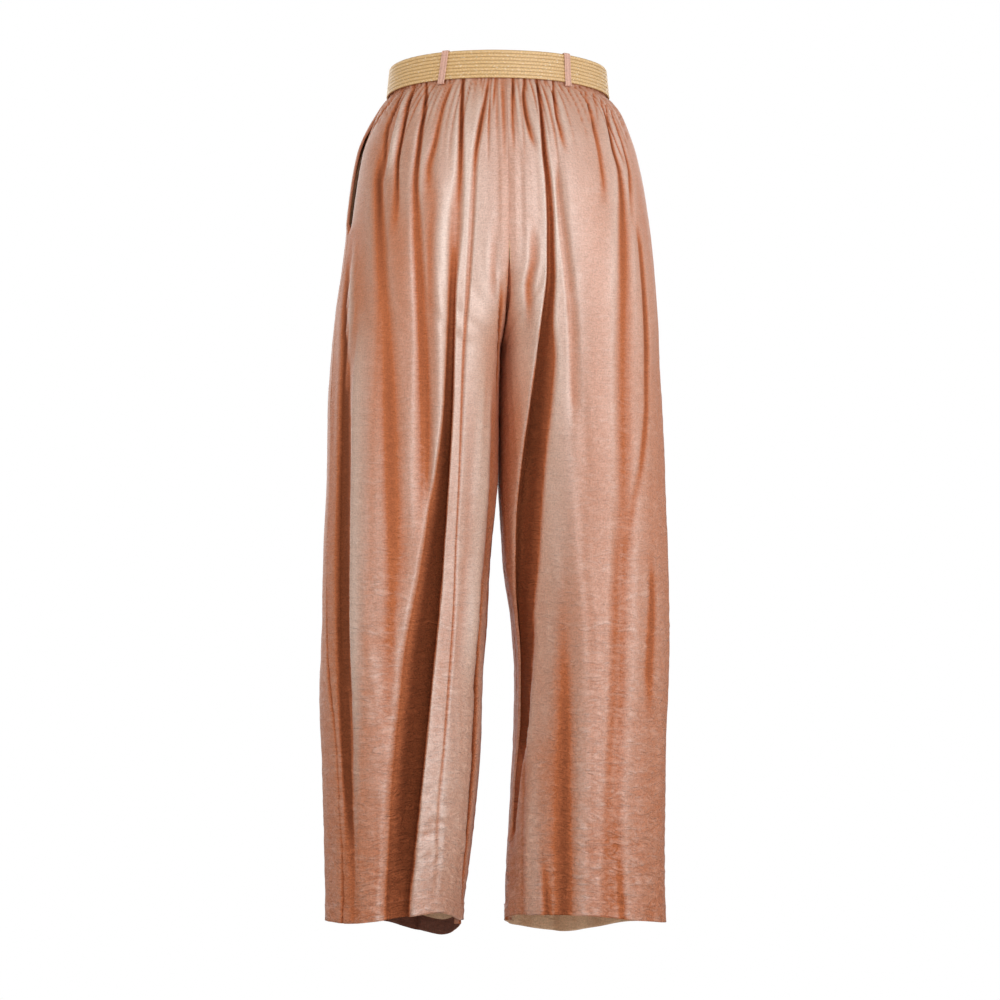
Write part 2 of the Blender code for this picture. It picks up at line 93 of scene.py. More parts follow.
# height, then how square the side and inner quarters are, 2 being an oval
SQUARENESS = np.array([
    (60.0, 2.00, 4.0),
    (260.0, 2.20, 4.0),
    (CROTCH, 2.25, 3.6),
    (420.0, 2.25, 2.7),
    (560.0, 2.25, 2.25),
])
# height, then how far behind the side point the left and right side seams lie
SIDE_SEAMS = np.array([
    (PANEL_TOP, 20.0, 8.0),
    (200.0, 26.0, 8.0),
    (560.0, 34.0, 9.0),
    (680.0, 46.0, 10.0),
    (800.0, 66.0, 11.0),
    (HEM, 72.0, 12.0),
])
RISE_TURNS_AT = {"back": 195.0, "front": 175.0}
# share of the way from side seam to inseam, then how far below HEM the cloth ends
HEM_DROPS = {
    "shares": (0.0, 0.30, 0.55, 0.78, 1.0),
    "back_left": (0, -7, -13, -1, 2),
    "back_right": (6, -2, -10, -8, 0),
    "front_left": (0, 5, 12, 28, 8),
    "front_right": (6, 14, 27, 16, 4),
}
HEM_DROP_STARTS = 520.0
QUARTER_STEPS = 48
# How the cloth turns in at a seam: over this width, this deep, and at the centre seam
# above the crotch only by this share. The turned-in edges lean across by SEAM_LEAN, so
# that no light shows between them
SEAM_TURN = 5.0
SEAM_DEPTH = 1.8
CENTRE_SEAM_SHARE = 0.1
LEGS_PART_OVER = 190.0
SEAM_ALLOWANCE = (3.0, 7.0)
SEAM_GAP = 0.1
SEAM_LEAN = 0.09
# How far a section keeps from the side seam's own point, over what width the left and
# right panels close up at the centre seam, and how near the middle they do so
SEAM_CLEAR = 0.2
CENTRE_CLOSES = 6.0
CENTRE_REACH = 8.0
CLOTH_THICKNESS = 0.8
# The mouth of a side pocket: the heights over which it opens and closes, how wide it
# gapes, how far its front lip stands out and its back edge sinks in, how far from the
# seam each of these fades, and the share of the seam allowance folded away behind it
POCKET_OPENS = (36.0, 72.0)
POCKET_CLOSES = (172.0, 190.0)
POCKET_MOUTH = 3.4
POCKET_LIP = 2.0
POCKET_SINKS = 4.0
POCKET_LIP_FADES = (4.0, 30.0)
POCKET_BACK_FADES = 18.0
POCKET_ALLOWANCE_CUT = 0.7


def smooth_curve(places, values, at):
    """A smooth curve through the values that never overshoots between two of them."""
    places = np.asarray(places, float)
    values = np.asarray(values, float)
    at = np.clip(np.asarray(at, float), places[0], places[-1])
    steps = np.diff(places)
    rises = np.diff(values) / steps
    slopes = np.zeros(len(places))
    both = np.nonzero(rises[:-1] * rises[1:] > 0)[0]
    slopes[both + 1] = 2 * rises[both] * rises[both + 1] / (rises[both] + rises[both + 1])
    k = np.clip(np.searchsorted(places, at, side="right") - 1, 0, len(steps) - 1)
    t = (at - places[k]) / steps[k]
    rest = 1 - t
    return (
        (1 + 2 * t) * rest * rest * values[k]
        + t * rest * rest * steps[k] * slopes[k]
        + t * t * (3 - 2 * t) * values[k + 1]
        - t * t * rest * steps[k] * slopes[k + 1]
    )


def ease(value, start, end):
    t = np.clip((value - start) / (end - start), 0.0, 1.0)
    return t * t * (3 - 2 * t)


def lengths_along(points):
    """How far along the path through the points each of them lies."""
    return np.concatenate([[0.0], np.cumsum(np.linalg.norm(np.diff(points, axis=0), axis=1))])


def section(column, height):
    return smooth_curve(SECTIONS[:, 0], SECTIONS[:, SECTION_COLUMNS.index(column)], height)


def quarter(squareness, middle, half_width, low, reach):
    """Points of a quarter of a rounded section, from its side to its crest."""
    angle = 0.5 * math.pi * np.arange(QUARTER_STEPS + 1) / QUARTER_STEPS
    across = np.clip(np.cos(angle), 0.0, 1.0) ** (2 / squareness)
    across[-1] = 0.0
    up = np.sin(angle) ** (2 / squareness)
    return np.column_stack([middle + half_width * across, low + (reach - low) * up])


def half_section(side, face, height):
    """One leg's outline at this height, from its side point to its inner seam."""
    reach = section(face, height)
    inner_x = section("inner_" + side, height)
    outer_x = section("side_" + side, height)
    crest_x = inner_x + (outer_x - inner_x) * section("crest", height)
    turn = (height - RISE_TURNS_AT[face]) / (CROTCH - RISE_TURNS_AT[face])
    seam_y = reach * max(1 - max(turn, 0.0) ** 3, 0.0)
    side_squareness = smooth_curve(SQUARENESS[:, 0], SQUARENESS[:, 1], height)
    inner_squareness = smooth_curve(SQUARENESS[:, 0], SQUARENESS[:, 2], height)
    outer = quarter(side_squareness, crest_x, outer_x - crest_x, 0.0, reach)
    inner = quarter(inner_squareness, crest_x, inner_x - crest_x, seam_y, reach)
    return np.vstack([outer, inner[-2::-1]])


def panel_path(name, height):
    """Points of the panel's outer face at this height, seam to seam, and how far along each is."""
    face, side = name.split("_")
    seam_y = smooth_curve(SIDE_SEAMS[:, 0], SIDE_SEAMS[:, 1 if side == "left" else 2], height)
    behind = half_section(side, "back", height)
    quarter_end = QUARTER_STEPS + 1
    seam_x = np.interp(seam_y, behind[:quarter_end, 1], behind[:quarter_end, 0])
    if face == "back":
        first = int(np.searchsorted(behind[:quarter_end, 1], seam_y + SEAM_CLEAR))
        kept = np.vstack([(seam_x, seam_y), behind[first:]])
    else:
        last = int(np.searchsorted(behind[:quarter_end, 1], seam_y - SEAM_CLEAR))
        wrapped = np.vstack([(seam_x, seam_y), behind[last - 1:0:-1]]) * (1, -1)
        kept = np.vstack([wrapped, half_section(side, "front", height)])
    return kept, lengths_along(kept)


def outward_normals(points):
    along = np.gradient(points, axis=0)
    normals = np.column_stack([along[:, 1], -along[:, 0]])
    return normals / np.linalg.norm(normals, axis=1)[:, None]


def place_across(points, lengths, across):
    """How far along the path a point of its visible face lies, by its distance from the middle."""
    widest = int(np.argmax(points[:, 0]))
    return np.interp(-across, -points[widest:, 0], lengths[widest:])


def smooth_field(along, down, cell_along, cell_down, random):
    """A smooth random height between -1 and 1 over the cloth, in cells of the given size."""
    x = (along - along.min()) / cell_along
    y = (down - down.min()) / cell_down
    knots = random.uniform(-1, 1, (int(y.max()) + 3, int(x.max()) + 3))
    i = x.astype(int)
    j = y.astype(int)
    fx = ease(x - i, 0, 1)
    fy = ease(y - j, 0, 1)
    upper = knots[j, i] * (1 - fx) + knots[j, i + 1] * fx
    lower = knots[j + 1, i] * (1 - fx) + knots[j + 1, i + 1] * fx
    return upper * (1 - fy) + lower * fy


# Long folds that the rows of points follow: distance from the middle at these heights
FOLD_HEIGHTS = (50.0, 150.0, 250.0, 350.0, 450.0, 560.0, 700.0, 850.0, 1000.0)
LONG_FOLDS = {
    "back_left": [
        (122, 140, 148, 152, 154, 156, 160, 166, 172),
        (97, 108, 103, 98, 98, 102, 118, 134, 150),
        (52, 57, 62, 65, 67, 74, 84, 99, 117),
        (26, 41, 46.5, 51.5, 54, 57.5, 65, 76, 82),
    ],
    "back_right": [
        (126, 142, 144, 144, 144, 138, 134, 127, 121),
        (60, 62, 71, 78, 82, 88, 96, 98, 96),
        (40, 46, 47, 37, 24, 24, 24, 24, 24),
    ],
    "front_left": [
        (112, 128, 136, 142, 146, 150, 156, 162, 168),
        (74, 84, 92, 98, 102, 108, 116, 124, 132),
        (38, 44, 50, 56, 60, 66, 74, 84, 92),
    ],
    "front_right": [
        (114, 130, 138, 142, 144, 146, 148, 148, 148),
        (72, 82, 90, 94, 98, 100, 102, 102, 100),
        (36, 42, 46, 50, 54, 58, 62, 62, 58),
    ],
}
# Creases, each a list of its points: height, distance from the middle, depth (a ridge
# is negative), and width towards the side and towards the middle
BACK_LEFT_CREASES = [
    [(20, 128, 2, 3, 3), (45, 143, 4, 3, 3), (64, 154, 5, 3, 3), (100, 168, 3, 4, 4), (140, 174, 0, 5, 5)],
    [(16, 118, 3, 4, 3), (40, 127, 5, 4, 4), (76, 139, 5, 5, 4), (112, 143, 3, 5, 5), (140, 146, 0, 6, 6)],
    [(18, 111, -1, 4, 4), (45, 119, -4, 4, 4), (90, 131, -4, 4, 4), (150, 139, 0, 5, 5)],
    [(16, 105, 4, 4, 3), (34, 111, 6, 5, 3), (79, 121, 7, 6, 3), (119, 128, 6, 6, 3),
     (166, 130, 3, 7, 4), (215, 134, 0, 7, 5)],
    [(90, 146, 0, 10, 9), (141, 150, 5, 12, 9), (229, 148, 4.5, 11, 9), (333, 141, 3, 12, 10),
     (448, 134, 2.5, 14, 12), (560, 126, 2, 16, 12), (650, 118, 0, 16, 12)],
    [(16, 92, 5, 4, 3), (47, 95, 8, 5, 4), (91, 102, 8, 6, 4), (149, 108, 6, 7, 4),
     (189, 107, 5, 7, 5), (276, 102, 5, 7, 5), (391, 97, 6, 9, 6), (483, 94, 6, 12, 7),
     (570, 92, 0, 14, 8)],
    [(16, 65, 2, 4, 4), (53, 75, 4, 6, 5), (97, 85, 4, 7, 5), (131, 93, 3, 8, 6), (175, 94, 0, 8, 7)],
    [(14, 50, 7, 4, 3), (60, 53, 9, 5, 3), (131, 56, 6, 6, 4), (183, 60, 5, 8, 5),
     (276, 64, 10, 6, 2), (391, 65, 18, 8, 1.5), (506, 70, 28, 14, 1.2), (600, 76, 34, 21, 1.2),
     (700, 85, 36, 27, 1.2), (843, 99, 34, 27, 1.4), (930, 109, 27, 24, 2.4),
     (1000, 117, 20, 22, 4)],
    [(110, 73, 0, 8, 8), (220, 80, -4, 9, 9), (330, 81, -5, 9, 8), (420, 80, -3, 8, 7), (520, 82, 0, 8, 8)],
    [(14, 20, 4, 4, 4), (35, 23, 6, 4, 4), (79, 32, 6, 5, 4), (114, 38, 4, 5, 3), (150, 41, 3, 4, 3),
     (241, 46, 3, 3, 2), (328, 51, 3, 2, 1.5), (492, 55, 3, 1.6, 1.2), (620, 60, 3, 1.6, 1.2),
     (798, 71, 2.6, 2, 1.4), (888, 78, 1.5, 3, 2), (960, 80, 0, 4, 3)],
    [(14, 12, 4, 3, 3), (35, 14, 4, 3, 3), (64, 17, 0, 3, 3)],
    [(14, 5, 3, 3, 3), (41, 5, 4, 3, 3), (91, 5, 2, 3, 3), (140, 5, 0, 4, 4)],
    [(14, 29, 4, 2, 2), (34, 30, 0, 3, 3)],
    [(14, 36, 4, 2, 2), (32, 37, 0, 3, 3)],
    [(14, 71, 4, 2, 2), (34, 73, 0, 3, 3)],
    [(14, 84, 3, 2, 2), (30, 86, 0, 3, 3)],
    [(170, 18, 0, 4, 4), (247, 19, 2, 5, 4), (300, 16, 0, 5, 5)],
    [(245, 9, 0, 2, 4), (285, 8, 5, 2, 5), (310, 8, 8, 2, 6), (345, 8, 5, 3, 6), (400, 8, 0, 4, 6)],
    [(330, 21, 0, 4, 4), (391, 24, 2, 5, 4), (470, 26, 0, 5, 5)],
    [(215, 183, 0, 8, 6), (300, 187, 8, 9, 3), (470, 188, 14, 12, 3), (620, 187, 14, 14, 3),
     (740, 186, 12, 14, 4), (860, 183, 7, 14, 6), (960, 180, 0, 13, 9)],
    [(180, 176, 0, 5, 5), (273, 179, -3, 5, 6), (450, 178, -3, 5, 7), (640, 178, -3, 6, 8),
     (760, 177, 0, 7, 9)],
    [(260, 168, 0, 9, 24), (400, 171, -10, 7, 26), (650, 171, -12, 8, 28), (850, 166, -9, 10, 26),
     (1000, 162, -7, 12, 24)],
    [(560, 26, 0, 3, 8), (650, 33, 7, 1.4, 13), (790, 35, 8, 1.4, 14), (900, 42, 7, 1.6, 12),
     (985, 47, 2, 3, 10)],
    [(330, 24, 0, 16, 12), (420, 24, -4, 18, 12), (520, 26, -5, 18, 12), (640, 34, -5, 18, 10),
     (760, 44, 0, 14, 10)],
]
BACK_RIGHT_CREASES = [
    [(14, 9, 5, 3, 3), (41, 7, 6, 3, 3), (79, 6, 4, 3, 3), (114, 6, 0, 3, 3)],
    [(14, 23, 5, 3, 3), (41, 20, 6, 4, 3), (60, 21, 6, 5, 3), (85, 26, 4, 6, 4), (108, 32, 0, 6, 5)],
    [(14, 38, 8, 3, 3), (60, 40, 10, 4, 3), (103, 42, 11, 4, 3), (143, 46, 11, 4, 3),
     (190, 48, 14, 4, 3), (240, 48, 16, 5, 3), (299, 42, 22, 8, 3), (345, 36.5, 26, 15, 3.5),
     (391, 32.5, 28, 17, 5.5), (437, 28.5, 30, 18, 8.5), (480, 25.5, 29, 19, 11.5),
     (530, 23, 28, 20, 15), (610, 22, 26, 20, 16), (692, 25.5, 24, 20, 12), (761, 25, 21, 17, 10),
     (831, 19.5, 15, 11, 8), (880, 15.5, 9, 8, 8), (930, 12, 0, 8, 7)],
    [(14, 47, 4, 2, 2), (34, 49, 0, 3, 3)],
    [(14, 58, 5, 3, 3), (35, 57, 6, 4, 3), (60, 58, 6, 5, 3), (82, 62, 4, 6, 4), (112, 67, 0, 6, 5)],
    [(105, 57, 0, 4, 3), (149, 58, 3, 5, 3), (212, 64, 3, 6, 4), (299, 73, 3, 7, 4),
     (379, 76, 3, 7, 5), (440, 80, 0, 7, 6)],
    [(175, 28, 0, 4, 4), (224, 28, 3, 6, 4), (264, 22, 4, 6, 4), (320, 24, 0, 6, 5)],
    [(26, 98, 3, 3, 3), (47, 100, 4, 4, 3), (79, 105, 4, 5, 3), (107, 110, 3, 5, 4),
     (142, 113, 2, 6, 5), (170, 113, 0, 6, 6)],
    [(26, 109, 3, 3, 3), (88, 110, 0, 3, 3)],
    [(32, 118, 3, 3, 3), (57, 123, 5, 4, 4), (94, 128, 5, 6, 5), (123, 136, 5, 8, 7),
     (157, 138, 5.5, 11, 9), (332, 137, 4.6, 13, 10), (505, 139, 4.4, 13, 10),
     (633, 133, 3.8, 13, 11), (722, 132, 3.8, 12, 11), (804, 127, 3, 13, 11),
     (1000, 122, 3, 13, 11)],
    [(40, 124, 3, 3, 3), (65, 127, 4, 3, 3), (82, 132, 4, 4, 3), (118, 143, 0, 4, 4)],
    [(45, 131, 3, 3, 3), (69, 137, 4, 4, 3), (126, 149, 3, 5, 4), (215, 150, 0, 5, 5)],
    [(170, 156, 0, 4, 4), (213, 161, 3, 5, 5), (300, 166, 4, 6, 5), (388, 167, 3, 6, 5),
     (450, 161, 3, 6, 5), (570, 146, 0, 6, 5)],
    [(480, 96, 0, 22, 22), (650, 95, -4, 22, 20), (850, 93, -5, 20, 18), (1000, 92, -5, 20, 18)],
    [(600, 62, 0, 9, 12), (700, 67, 1.8, 10, 18), (765, 69, 2.8, 11, 22), (855, 68, 3.8, 12, 23),
     (1000, 70, 4.8, 11, 20)],
    [(660, 35, 0, 10, 8), (780, 33, -3, 12, 10), (900, 31, -3, 12, 10), (1000, 31, -3, 12, 10)],
    [(915, 44, 0, 6, 4), (960, 46, 3, 6, 4), (1000, 48, 4.5, 5, 4)],
    [(890, 134, 0, 6, 5), (965, 135, 2, 6, 5), (1000, 137, 2.5, 6, 5)],
    [(560, 172, 0, 7, 6), (621, 174, 3, 8, 7), (700, 171, 3, 9, 8), (780, 170, 0, 9, 8)],
    [(16, 66, 3, 2, 2), (40, 67, 0, 3, 3)],
    [(18, 76, 3, 2, 2), (44, 78, 0, 3, 3)],
    [(18, 85, 3, 2, 2), (38, 87, 0, 3, 3)],
    [(20, 92, 3, 2, 2), (46, 94, 0, 3, 3)],
]
# Patches of painted light and painted shade, which make the colour and its sheen lighter or
# darker: height, distance from the middle, how much lighter, and half the height and width
PAINTED_LIGHT_PATCHES = {
    "back_left": [
        (70, 52, 0.24, 110, 70), (215, 188, -0.16, 60, 16), (230, 30, 0.30, 130, 22),
        (200, 66, 0.20, 110, 16), (420, 34, 0.38, 170, 26),
        (640, 40, 0.45, 190, 26), (900, 64, 0.46, 150, 34), (260, 120, -0.10, 200, 34),
        (560, 124, 0.10, 200, 30), (600, 198, -0.22, 420, 16), (960, 190, -0.12, 90, 60),
    ],
    "back_right": [
        (70, 52, 0.24, 110, 70), (220, 28, 0.26, 130, 30), (330, 14, 0.40, 70, 12),
        (260, 74, 0.14, 200, 26), (300, 118, 0.06, 260, 34),
        (520, 62, 0.36, 190, 20), (760, 54, 0.32, 190, 18), (920, 22, 0.24, 110, 30),
        (980, 110, -0.06, 80, 60),
    ],
    "front_left": [
        (230, 30, 0.18, 150, 30), (420, 140, -0.08, 200, 24), (560, 100, -0.06, 220, 20),
        (780, 60, 0.08, 200, 30), (900, 160, -0.08, 120, 40),
    ],
    "front_right": [
        (250, 34, 0.14, 170, 30), (360, 120, -0.08, 200, 26), (620, 90, -0.06, 200, 18),
        (860, 40, 0.08, 160, 30), (940, 150, -0.08, 100, 40),
    ],
}
# Over these heights the pleats of the gathers turn into soft folds, and how much wider
# and deeper than in the tables each kind is
PLEATS_SOFTEN = (70.0, 210.0)
PLEAT_SPREAD = 1.35
FOLD_SPREAD = 1.6
PLEAT_DEPTH = 1.1
FOLD_DEPTH = 0.75
# A fold deeper than DEEP_FOLD goes straight in and not square to the cloth. One within
# FLOOR_DEPTHS gets a flat floor, up to this share of its width
DEEP_FOLD = 10.0
FLOOR_DEPTHS = (8.0, 20.0)
FLOOR_SHARE = 0.14
# A crease starts this far above its first height
CREASE_LEAD = 2.0
# Small pleats among the large ones: how far apart, how far down each runs, its depth and
# half width, and how the pleats fade at their lower ends and widen with the cloth
PLEAT_SPACING = (4.8, 9.0)
PLEAT_REACHES = (36, 115)
PLEAT_DEPTHS = (2.0, 3.8)
PLEAT_HALF_WIDTHS = (2.0, 3.2)
PLEATS_FROM_SEAM = 3.0
PLEAT_FADE_STARTS = 0.35
PLEAT_TAIL = 20
PLEAT_WIDENING = 0.7
# The elastic holds the gathers to this share of their depth at the waistband. It grows
# to all of it between these heights
GATHERS_AT_BAND = 0.55
GATHERS_FULL = (16.0, 34.0)
# A panel's grid: how its points crowd towards the long folds, its rows towards the
# gathers and the hem, and how near each other two long folds may come
BACK_COLUMNS = 146
BACK_ROWS = 290
CROWDING = 0.45
ROW_CROWDING = 0.06
FOLDS_APART = 8.0
# The width that every row has in the random fields, so that they run down the cloth
PANEL_WIDTH = 330.0
# The hem's turn-up: its height, how far its second layer pushes the cloth out, and from
# where to where round its upper edge
HEM_TURN = 20.0
HEM_STANDS_PROUD = 0.5
HEM_EDGE = (-1.0, 1.5)
# The slow unevenness of hanging cloth: size of its cells along and down the cloth, how
# far it moves the cloth, and the heights between which it sets in
UNEVENNESS = (
    (60, 90, 1.2, 60, 200),
    (19, 260, 1.1, 120, 320),
    (8, 130, 0.55, 14, 60),
)
# Crinkle of worn crepe: cells of its fine, coarse and slanting creases, of the bends in
# them and of its patches, and what it adds from waist to hem
FINE_CELL = (26, 9)
COARSE_CELL = (48, 16)
SLANT_CELL = (14, 20)
BEND_CELL = (45, 60)
PATCH_CELL = (80, 110)
BEND = 9
SLANT = 0.6
CRINKLE_STARTS = (60, 220)
CRINKLE_AT_HIP = 0.30
CRINKLE_STEPS = ((0.50, 300, 700), (0.65, 760, 980))
PATCHINESS = 0.4
# What the creases come to on average, which is taken off again
CREASED_MEAN = 0.45
# The relief that the colour follows, darker as painted shade in the hollows and paler as
# painted sheen on the heights, is a point's height over its surroundings, which reach this
# far and are averaged in small passes. Points closer than CLOSEST_POINTS count as that far
# apart, and no pass moves more than LARGEST_SHARE of a difference
RELIEF_BLUR = 16.0
BLUR_PASSES = 24
CLOSEST_POINTS = 0.5
LARGEST_SHARE = 0.45
# The height that counts as full relief, the depth below which a fold counts no further,
# how much crumples and the ridges of the legs show in the painted shade and sheen, and the
# darker painted shade of deep places
RELIEF_FULL = 3.2
RELIEF_DEEPEST = 5.0
CRUMPLES_SHOW = 0.32
RIDGES_SHOW = 0.5
RIDGES_FADE = (200, 420)
DEPTH_SHADE = 0.2
DEPTH_SHADE_STARTS = 3.0


def crease_push(creases, height, points, lengths, distance):
    """How far the cloth of one row is pushed out by all the creases that reach it."""
    push = np.zeros_like(distance)
    pleated = 1 - ease(height, *PLEATS_SOFTEN)
    spread = FOLD_SPREAD + (PLEAT_SPREAD - FOLD_SPREAD) * pleated
    deep = FOLD_DEPTH + (PLEAT_DEPTH - FOLD_DEPTH) * pleated
    for crease in creases:
        rows = np.array(crease, float)
        if not rows[0, 0] - CREASE_LEAD <= height <= rows[-1, 0]:
            continue
        across, depth, to_side, to_middle = (
            float(smooth_curve(rows[:, 0], rows[:, k], height)) for k in range(1, 5)
        )
        away = distance - place_across(points, lengths, across)
        t = np.clip(np.where(away < 0, -away / to_side, away / to_middle) / spread, 0, 1)
        floor = FLOOR_SHARE * ease(depth, *FLOOR_DEPTHS)
        t = np.clip((t - floor) / (1 - floor), 0, 1)
        soft = (1 - t * t) ** 2
        sharp = (1 - t) ** 2
        trough = sharp * pleated + soft * (1 - pleated)
        push -= depth * (trough * deep if depth > 0 else soft)
    return push


def small_pleats(length, random):
    """Each small pleat's place along the top edge as a share, its reach, depth and half width."""
    pleats = []
    at = PLEATS_FROM_SEAM
    while at < length - PLEATS_FROM_SEAM:
        reach = random.uniform(*PLEAT_REACHES)
        depth = random.uniform(*PLEAT_DEPTHS)
        half_width = random.uniform(*PLEAT_HALF_WIDTHS)
        pleats.append((at / length, reach, depth, half_width))
        at += random.uniform(*PLEAT_SPACING)
    return pleats


def pleat_push(pleats, height, distance, total, start):
    push = np.zeros_like(distance)
    widening = (total / start) ** PLEAT_WIDENING
    for place, reach, depth, half_width in pleats:
        fade = 1 - ease(height, PLEAT_FADE_STARTS * reach, reach + PLEAT_TAIL)
        t = np.clip(np.abs(distance - place * total) / (half_width * widening), 0, 1)
        push -= depth * fade * (1 - t) ** 2
    return push


# Share of a row's points before, between and after its long folds
FOLD_SHARES = {
    "back_left": (0.16, 0.20, 0.24, 0.12, 0.28),
    "back_right": (0.26, 0.24, 0.22, 0.28),
    "front_left": (0.40, 0.20, 0.18, 0.22),
    "front_right": (0.38, 0.20, 0.20, 0.22),
}


def row_distances(name, height, points, lengths, columns):
    """Where a row's points lie along the path: closer together at the long folds."""
    total = lengths[-1]
    marks = [0.0]
    for fold in LONG_FOLDS[name]:
        across = float(smooth_curve(FOLD_HEIGHTS, fold, height))
        marks.append(max(float(place_across(points, lengths, across)), marks[-1] + FOLDS_APART))
    marks.append(total)
    counts = FOLD_SHARES[name]
    distances = []
    for k in range(len(marks) - 1):
        count = round(columns * counts[k])
        if k == len(marks) - 2:
            count = columns - 1 - len(distances)
        t = np.arange(count) / count
        t = t - CROWDING * np.sin(2 * math.pi * t) / (2 * math.pi)
        distances.extend(marks[k] + (marks[k + 1] - marks[k]) * t)
    return np.append(distances, total)


def panel_rows(rows):
    """Heights of a panel's rows, closer together under the gathers and at the hem."""
    t = np.linspace(0, 1, rows)
    return PANEL_TOP + (HEM - PANEL_TOP) * (t - ROW_CROWDING * np.sin(2 * math.pi * t))


def pocket_opening(height):
    return ease(height, *POCKET_OPENS) * (1 - ease(height, *POCKET_CLOSES))


def hang_row(name, creases, pleats, start, columns, height):
    """One level row of the panel: its points, the way out at each, push and distance along."""
    face = name.split("_")[0]
    points, lengths = panel_path(name, height)
    total = lengths[-1]
    distance = row_distances(name, height, points, lengths, columns)
    distance = np.clip(distance, SEAM_GAP, total - SEAM_GAP)
    opening = pocket_opening(height)
    at_mouth = 1 - ease(distance, *POCKET_LIP_FADES)
    if face == "front":
        distance = distance + POCKET_MOUTH * opening * at_mouth
    normals = outward_normals(points)
    here = np.column_stack([np.interp(distance, lengths, points[:, k]) for k in (0, 1)])
    out = np.column_stack([np.interp(distance, lengths, normals[:, k]) for k in (0, 1)])
    out /= np.linalg.norm(out, axis=1)[:, None]
    to_edge = np.minimum(distance, total - distance)
    pushed = crease_push(creases, height, points, lengths, distance)
    straight_in = np.clip(-pushed / DEEP_FOLD, 0.0, 1.0)[:, None]
    pushed += pleat_push(pleats, height, distance, total, start)
    out = out * (1 - straight_in) + np.array([0.0, 1.0]) * straight_in
    gathered = GATHERS_AT_BAND + (1 - GATHERS_AT_BAND) * ease(height, *GATHERS_FULL)
    pushed *= ease(to_edge, 0.0, 2 * SEAM_TURN) * gathered
    if face == "front":
        pushed += POCKET_LIP * opening * at_mouth
    else:
        pushed -= POCKET_SINKS * opening * (1 - ease(distance, 0.0, POCKET_BACK_FADES))
    middle = total - distance < distance
    parting = ease(height, CROTCH, CROTCH + LEGS_PART_OVER)
    facing = CENTRE_SEAM_SHARE * np.abs(out[:, 1]) * (1 - parting) + parting
    facing = np.where(middle, facing, 1.0)
    pushed -= SEAM_DEPTH * facing * (1 - ease(to_edge, 0.0, SEAM_TURN))
    if height < CROTCH:
        closing = (1 - ease(total - distance, 0.0, CENTRE_CLOSES)) * middle
        beyond = np.maximum(here[:, 0] - SEAM_GAP, 0.0)
        here[:, 0] -= beyond * closing * (here[:, 0] < CENTRE_REACH)
    return here, out, pushed, distance, total


def lay_out_panel(name, creases, columns, rows, random):
    """Grids of the panel's points in mm, their place along the cloth, and their relief."""
    face, side = name.split("_")
    towards = 1 if face == "back" else -1
    outwards = 1 if side == "left" else -1
    heights = panel_rows(rows)
    turned_in = len(SEAM_ALLOWANCE)
    width = columns + 2 * turned_in
    cloth = slice(turned_in, width - turned_in)
    base = np.zeros((rows, width, 2))
    normal = np.zeros((rows, width, 2))
    along = np.zeros((rows, width))
    push = np.zeros((rows, width))
    share = np.zeros((rows, width))
    start = panel_path(name, PANEL_TOP)[1][-1]
    pleats = small_pleats(start, random)
    for r, height in enumerate(heights):
        here, out, pushed, distance, total = hang_row(name, creases, pleats, start, columns, height)
        for end, first in ((0, 0), (-1, width - turned_in)):
            at_side = end == 0
            kept = 1 - POCKET_ALLOWANCE_CUT * pocket_opening(height) * at_side
            at_centre = not at_side and height < CROTCH
            for k, depth in enumerate(SEAM_ALLOWANCE[::-1] if at_side else SEAM_ALLOWANCE):
                base[r, first + k] = here[end] + out[end] * pushed[end]
                normal[r, first + k] = (SEAM_LEAN, 1.0) if at_centre else out[end]
                push[r, first + k] = -depth * kept
                along[r, first + k] = distance[end] + depth * (-1 if at_side else 1)
                share[r, first + k] = distance[end] / total
        base[r, cloth] = here
        normal[r, cloth] = out
        push[r, cloth] = pushed
        along[r, cloth] = distance
        share[r, cloth] = distance / total
    down = np.repeat(heights[:, None], width, axis=1)

    # The relief puts painted shade into hollows and deep folds and painted sheen onto ridges, through the
    # colours of the crepe
    relief = np.zeros_like(push)
    shallow = np.maximum(push[:, cloth], -RELIEF_DEEPEST)
    relief[:, cloth] = shallow - blurred(shallow, along[:, cloth])
    raised = 1 - (1 - RIDGES_SHOW) * ease(down, *RIDGES_FADE)
    relief = np.where(relief > 0, relief * raised, relief)
    # Deep places get darker still, as painted shade
    relief[:, cloth] += DEPTH_SHADE * np.minimum(push[:, cloth] + DEPTH_SHADE_STARTS, 0.0)
    # Patches of painted light and painted shade
    for height, across, painted_lightness, half_height, half_width in PAINTED_LIGHT_PATCHES[name]:
        reach = ((down - height) / half_height) ** 2 + ((base[:, :, 0] - across) / half_width) ** 2
        relief += painted_lightness * RELIEF_FULL * np.exp(-reach)

    flow = share * PANEL_WIDTH
    push += HEM_STANDS_PROUD * ease(down, *(HEM - HEM_TURN + edge for edge in HEM_EDGE))
    for cell_along, cell_down, rise, starts, full in UNEVENNESS:
        uneven = smooth_field(flow, down, cell_along, cell_down, random)
        push += rise * uneven * ease(down, starts, full)
    creased = crinkle(flow, down, random)
    push += creased
    # The crumples darken and lighten the colour too, as painted shade and light
    relief[:, cloth] += CRUMPLES_SHOW * creased[:, cloth]

    x = outwards * (base[:, :, 0] + normal[:, :, 0] * push)
    y = towards * (base[:, :, 1] + normal[:, :, 1] * push)
    tilt = WAIST_TILT * y * (1 - ease(down, PANEL_TOP, TILT_ENDS))
    drop = smooth_curve(HEM_DROPS["shares"], HEM_DROPS[name], share)
    z = -down + tilt - drop * ease(down, HEM_DROP_STARTS, HEM)
    return np.stack([x, y, z], axis=2), along, down, relief


def blurred(field, along):
    """The field averaged along each row over about RELIEF_BLUR millimetres."""
    result = field.copy()
    spacing = np.maximum(np.diff(along, axis=1), CLOSEST_POINTS)
    rate = np.clip((RELIEF_BLUR * RELIEF_BLUR / BLUR_PASSES) / spacing ** 2, 0, LARGEST_SHARE)
    for _ in range(BLUR_PASSES):
        flow = rate * np.diff(result, axis=1)
        result[:, :-1] += flow
        result[:, 1:] -= flow
    return result


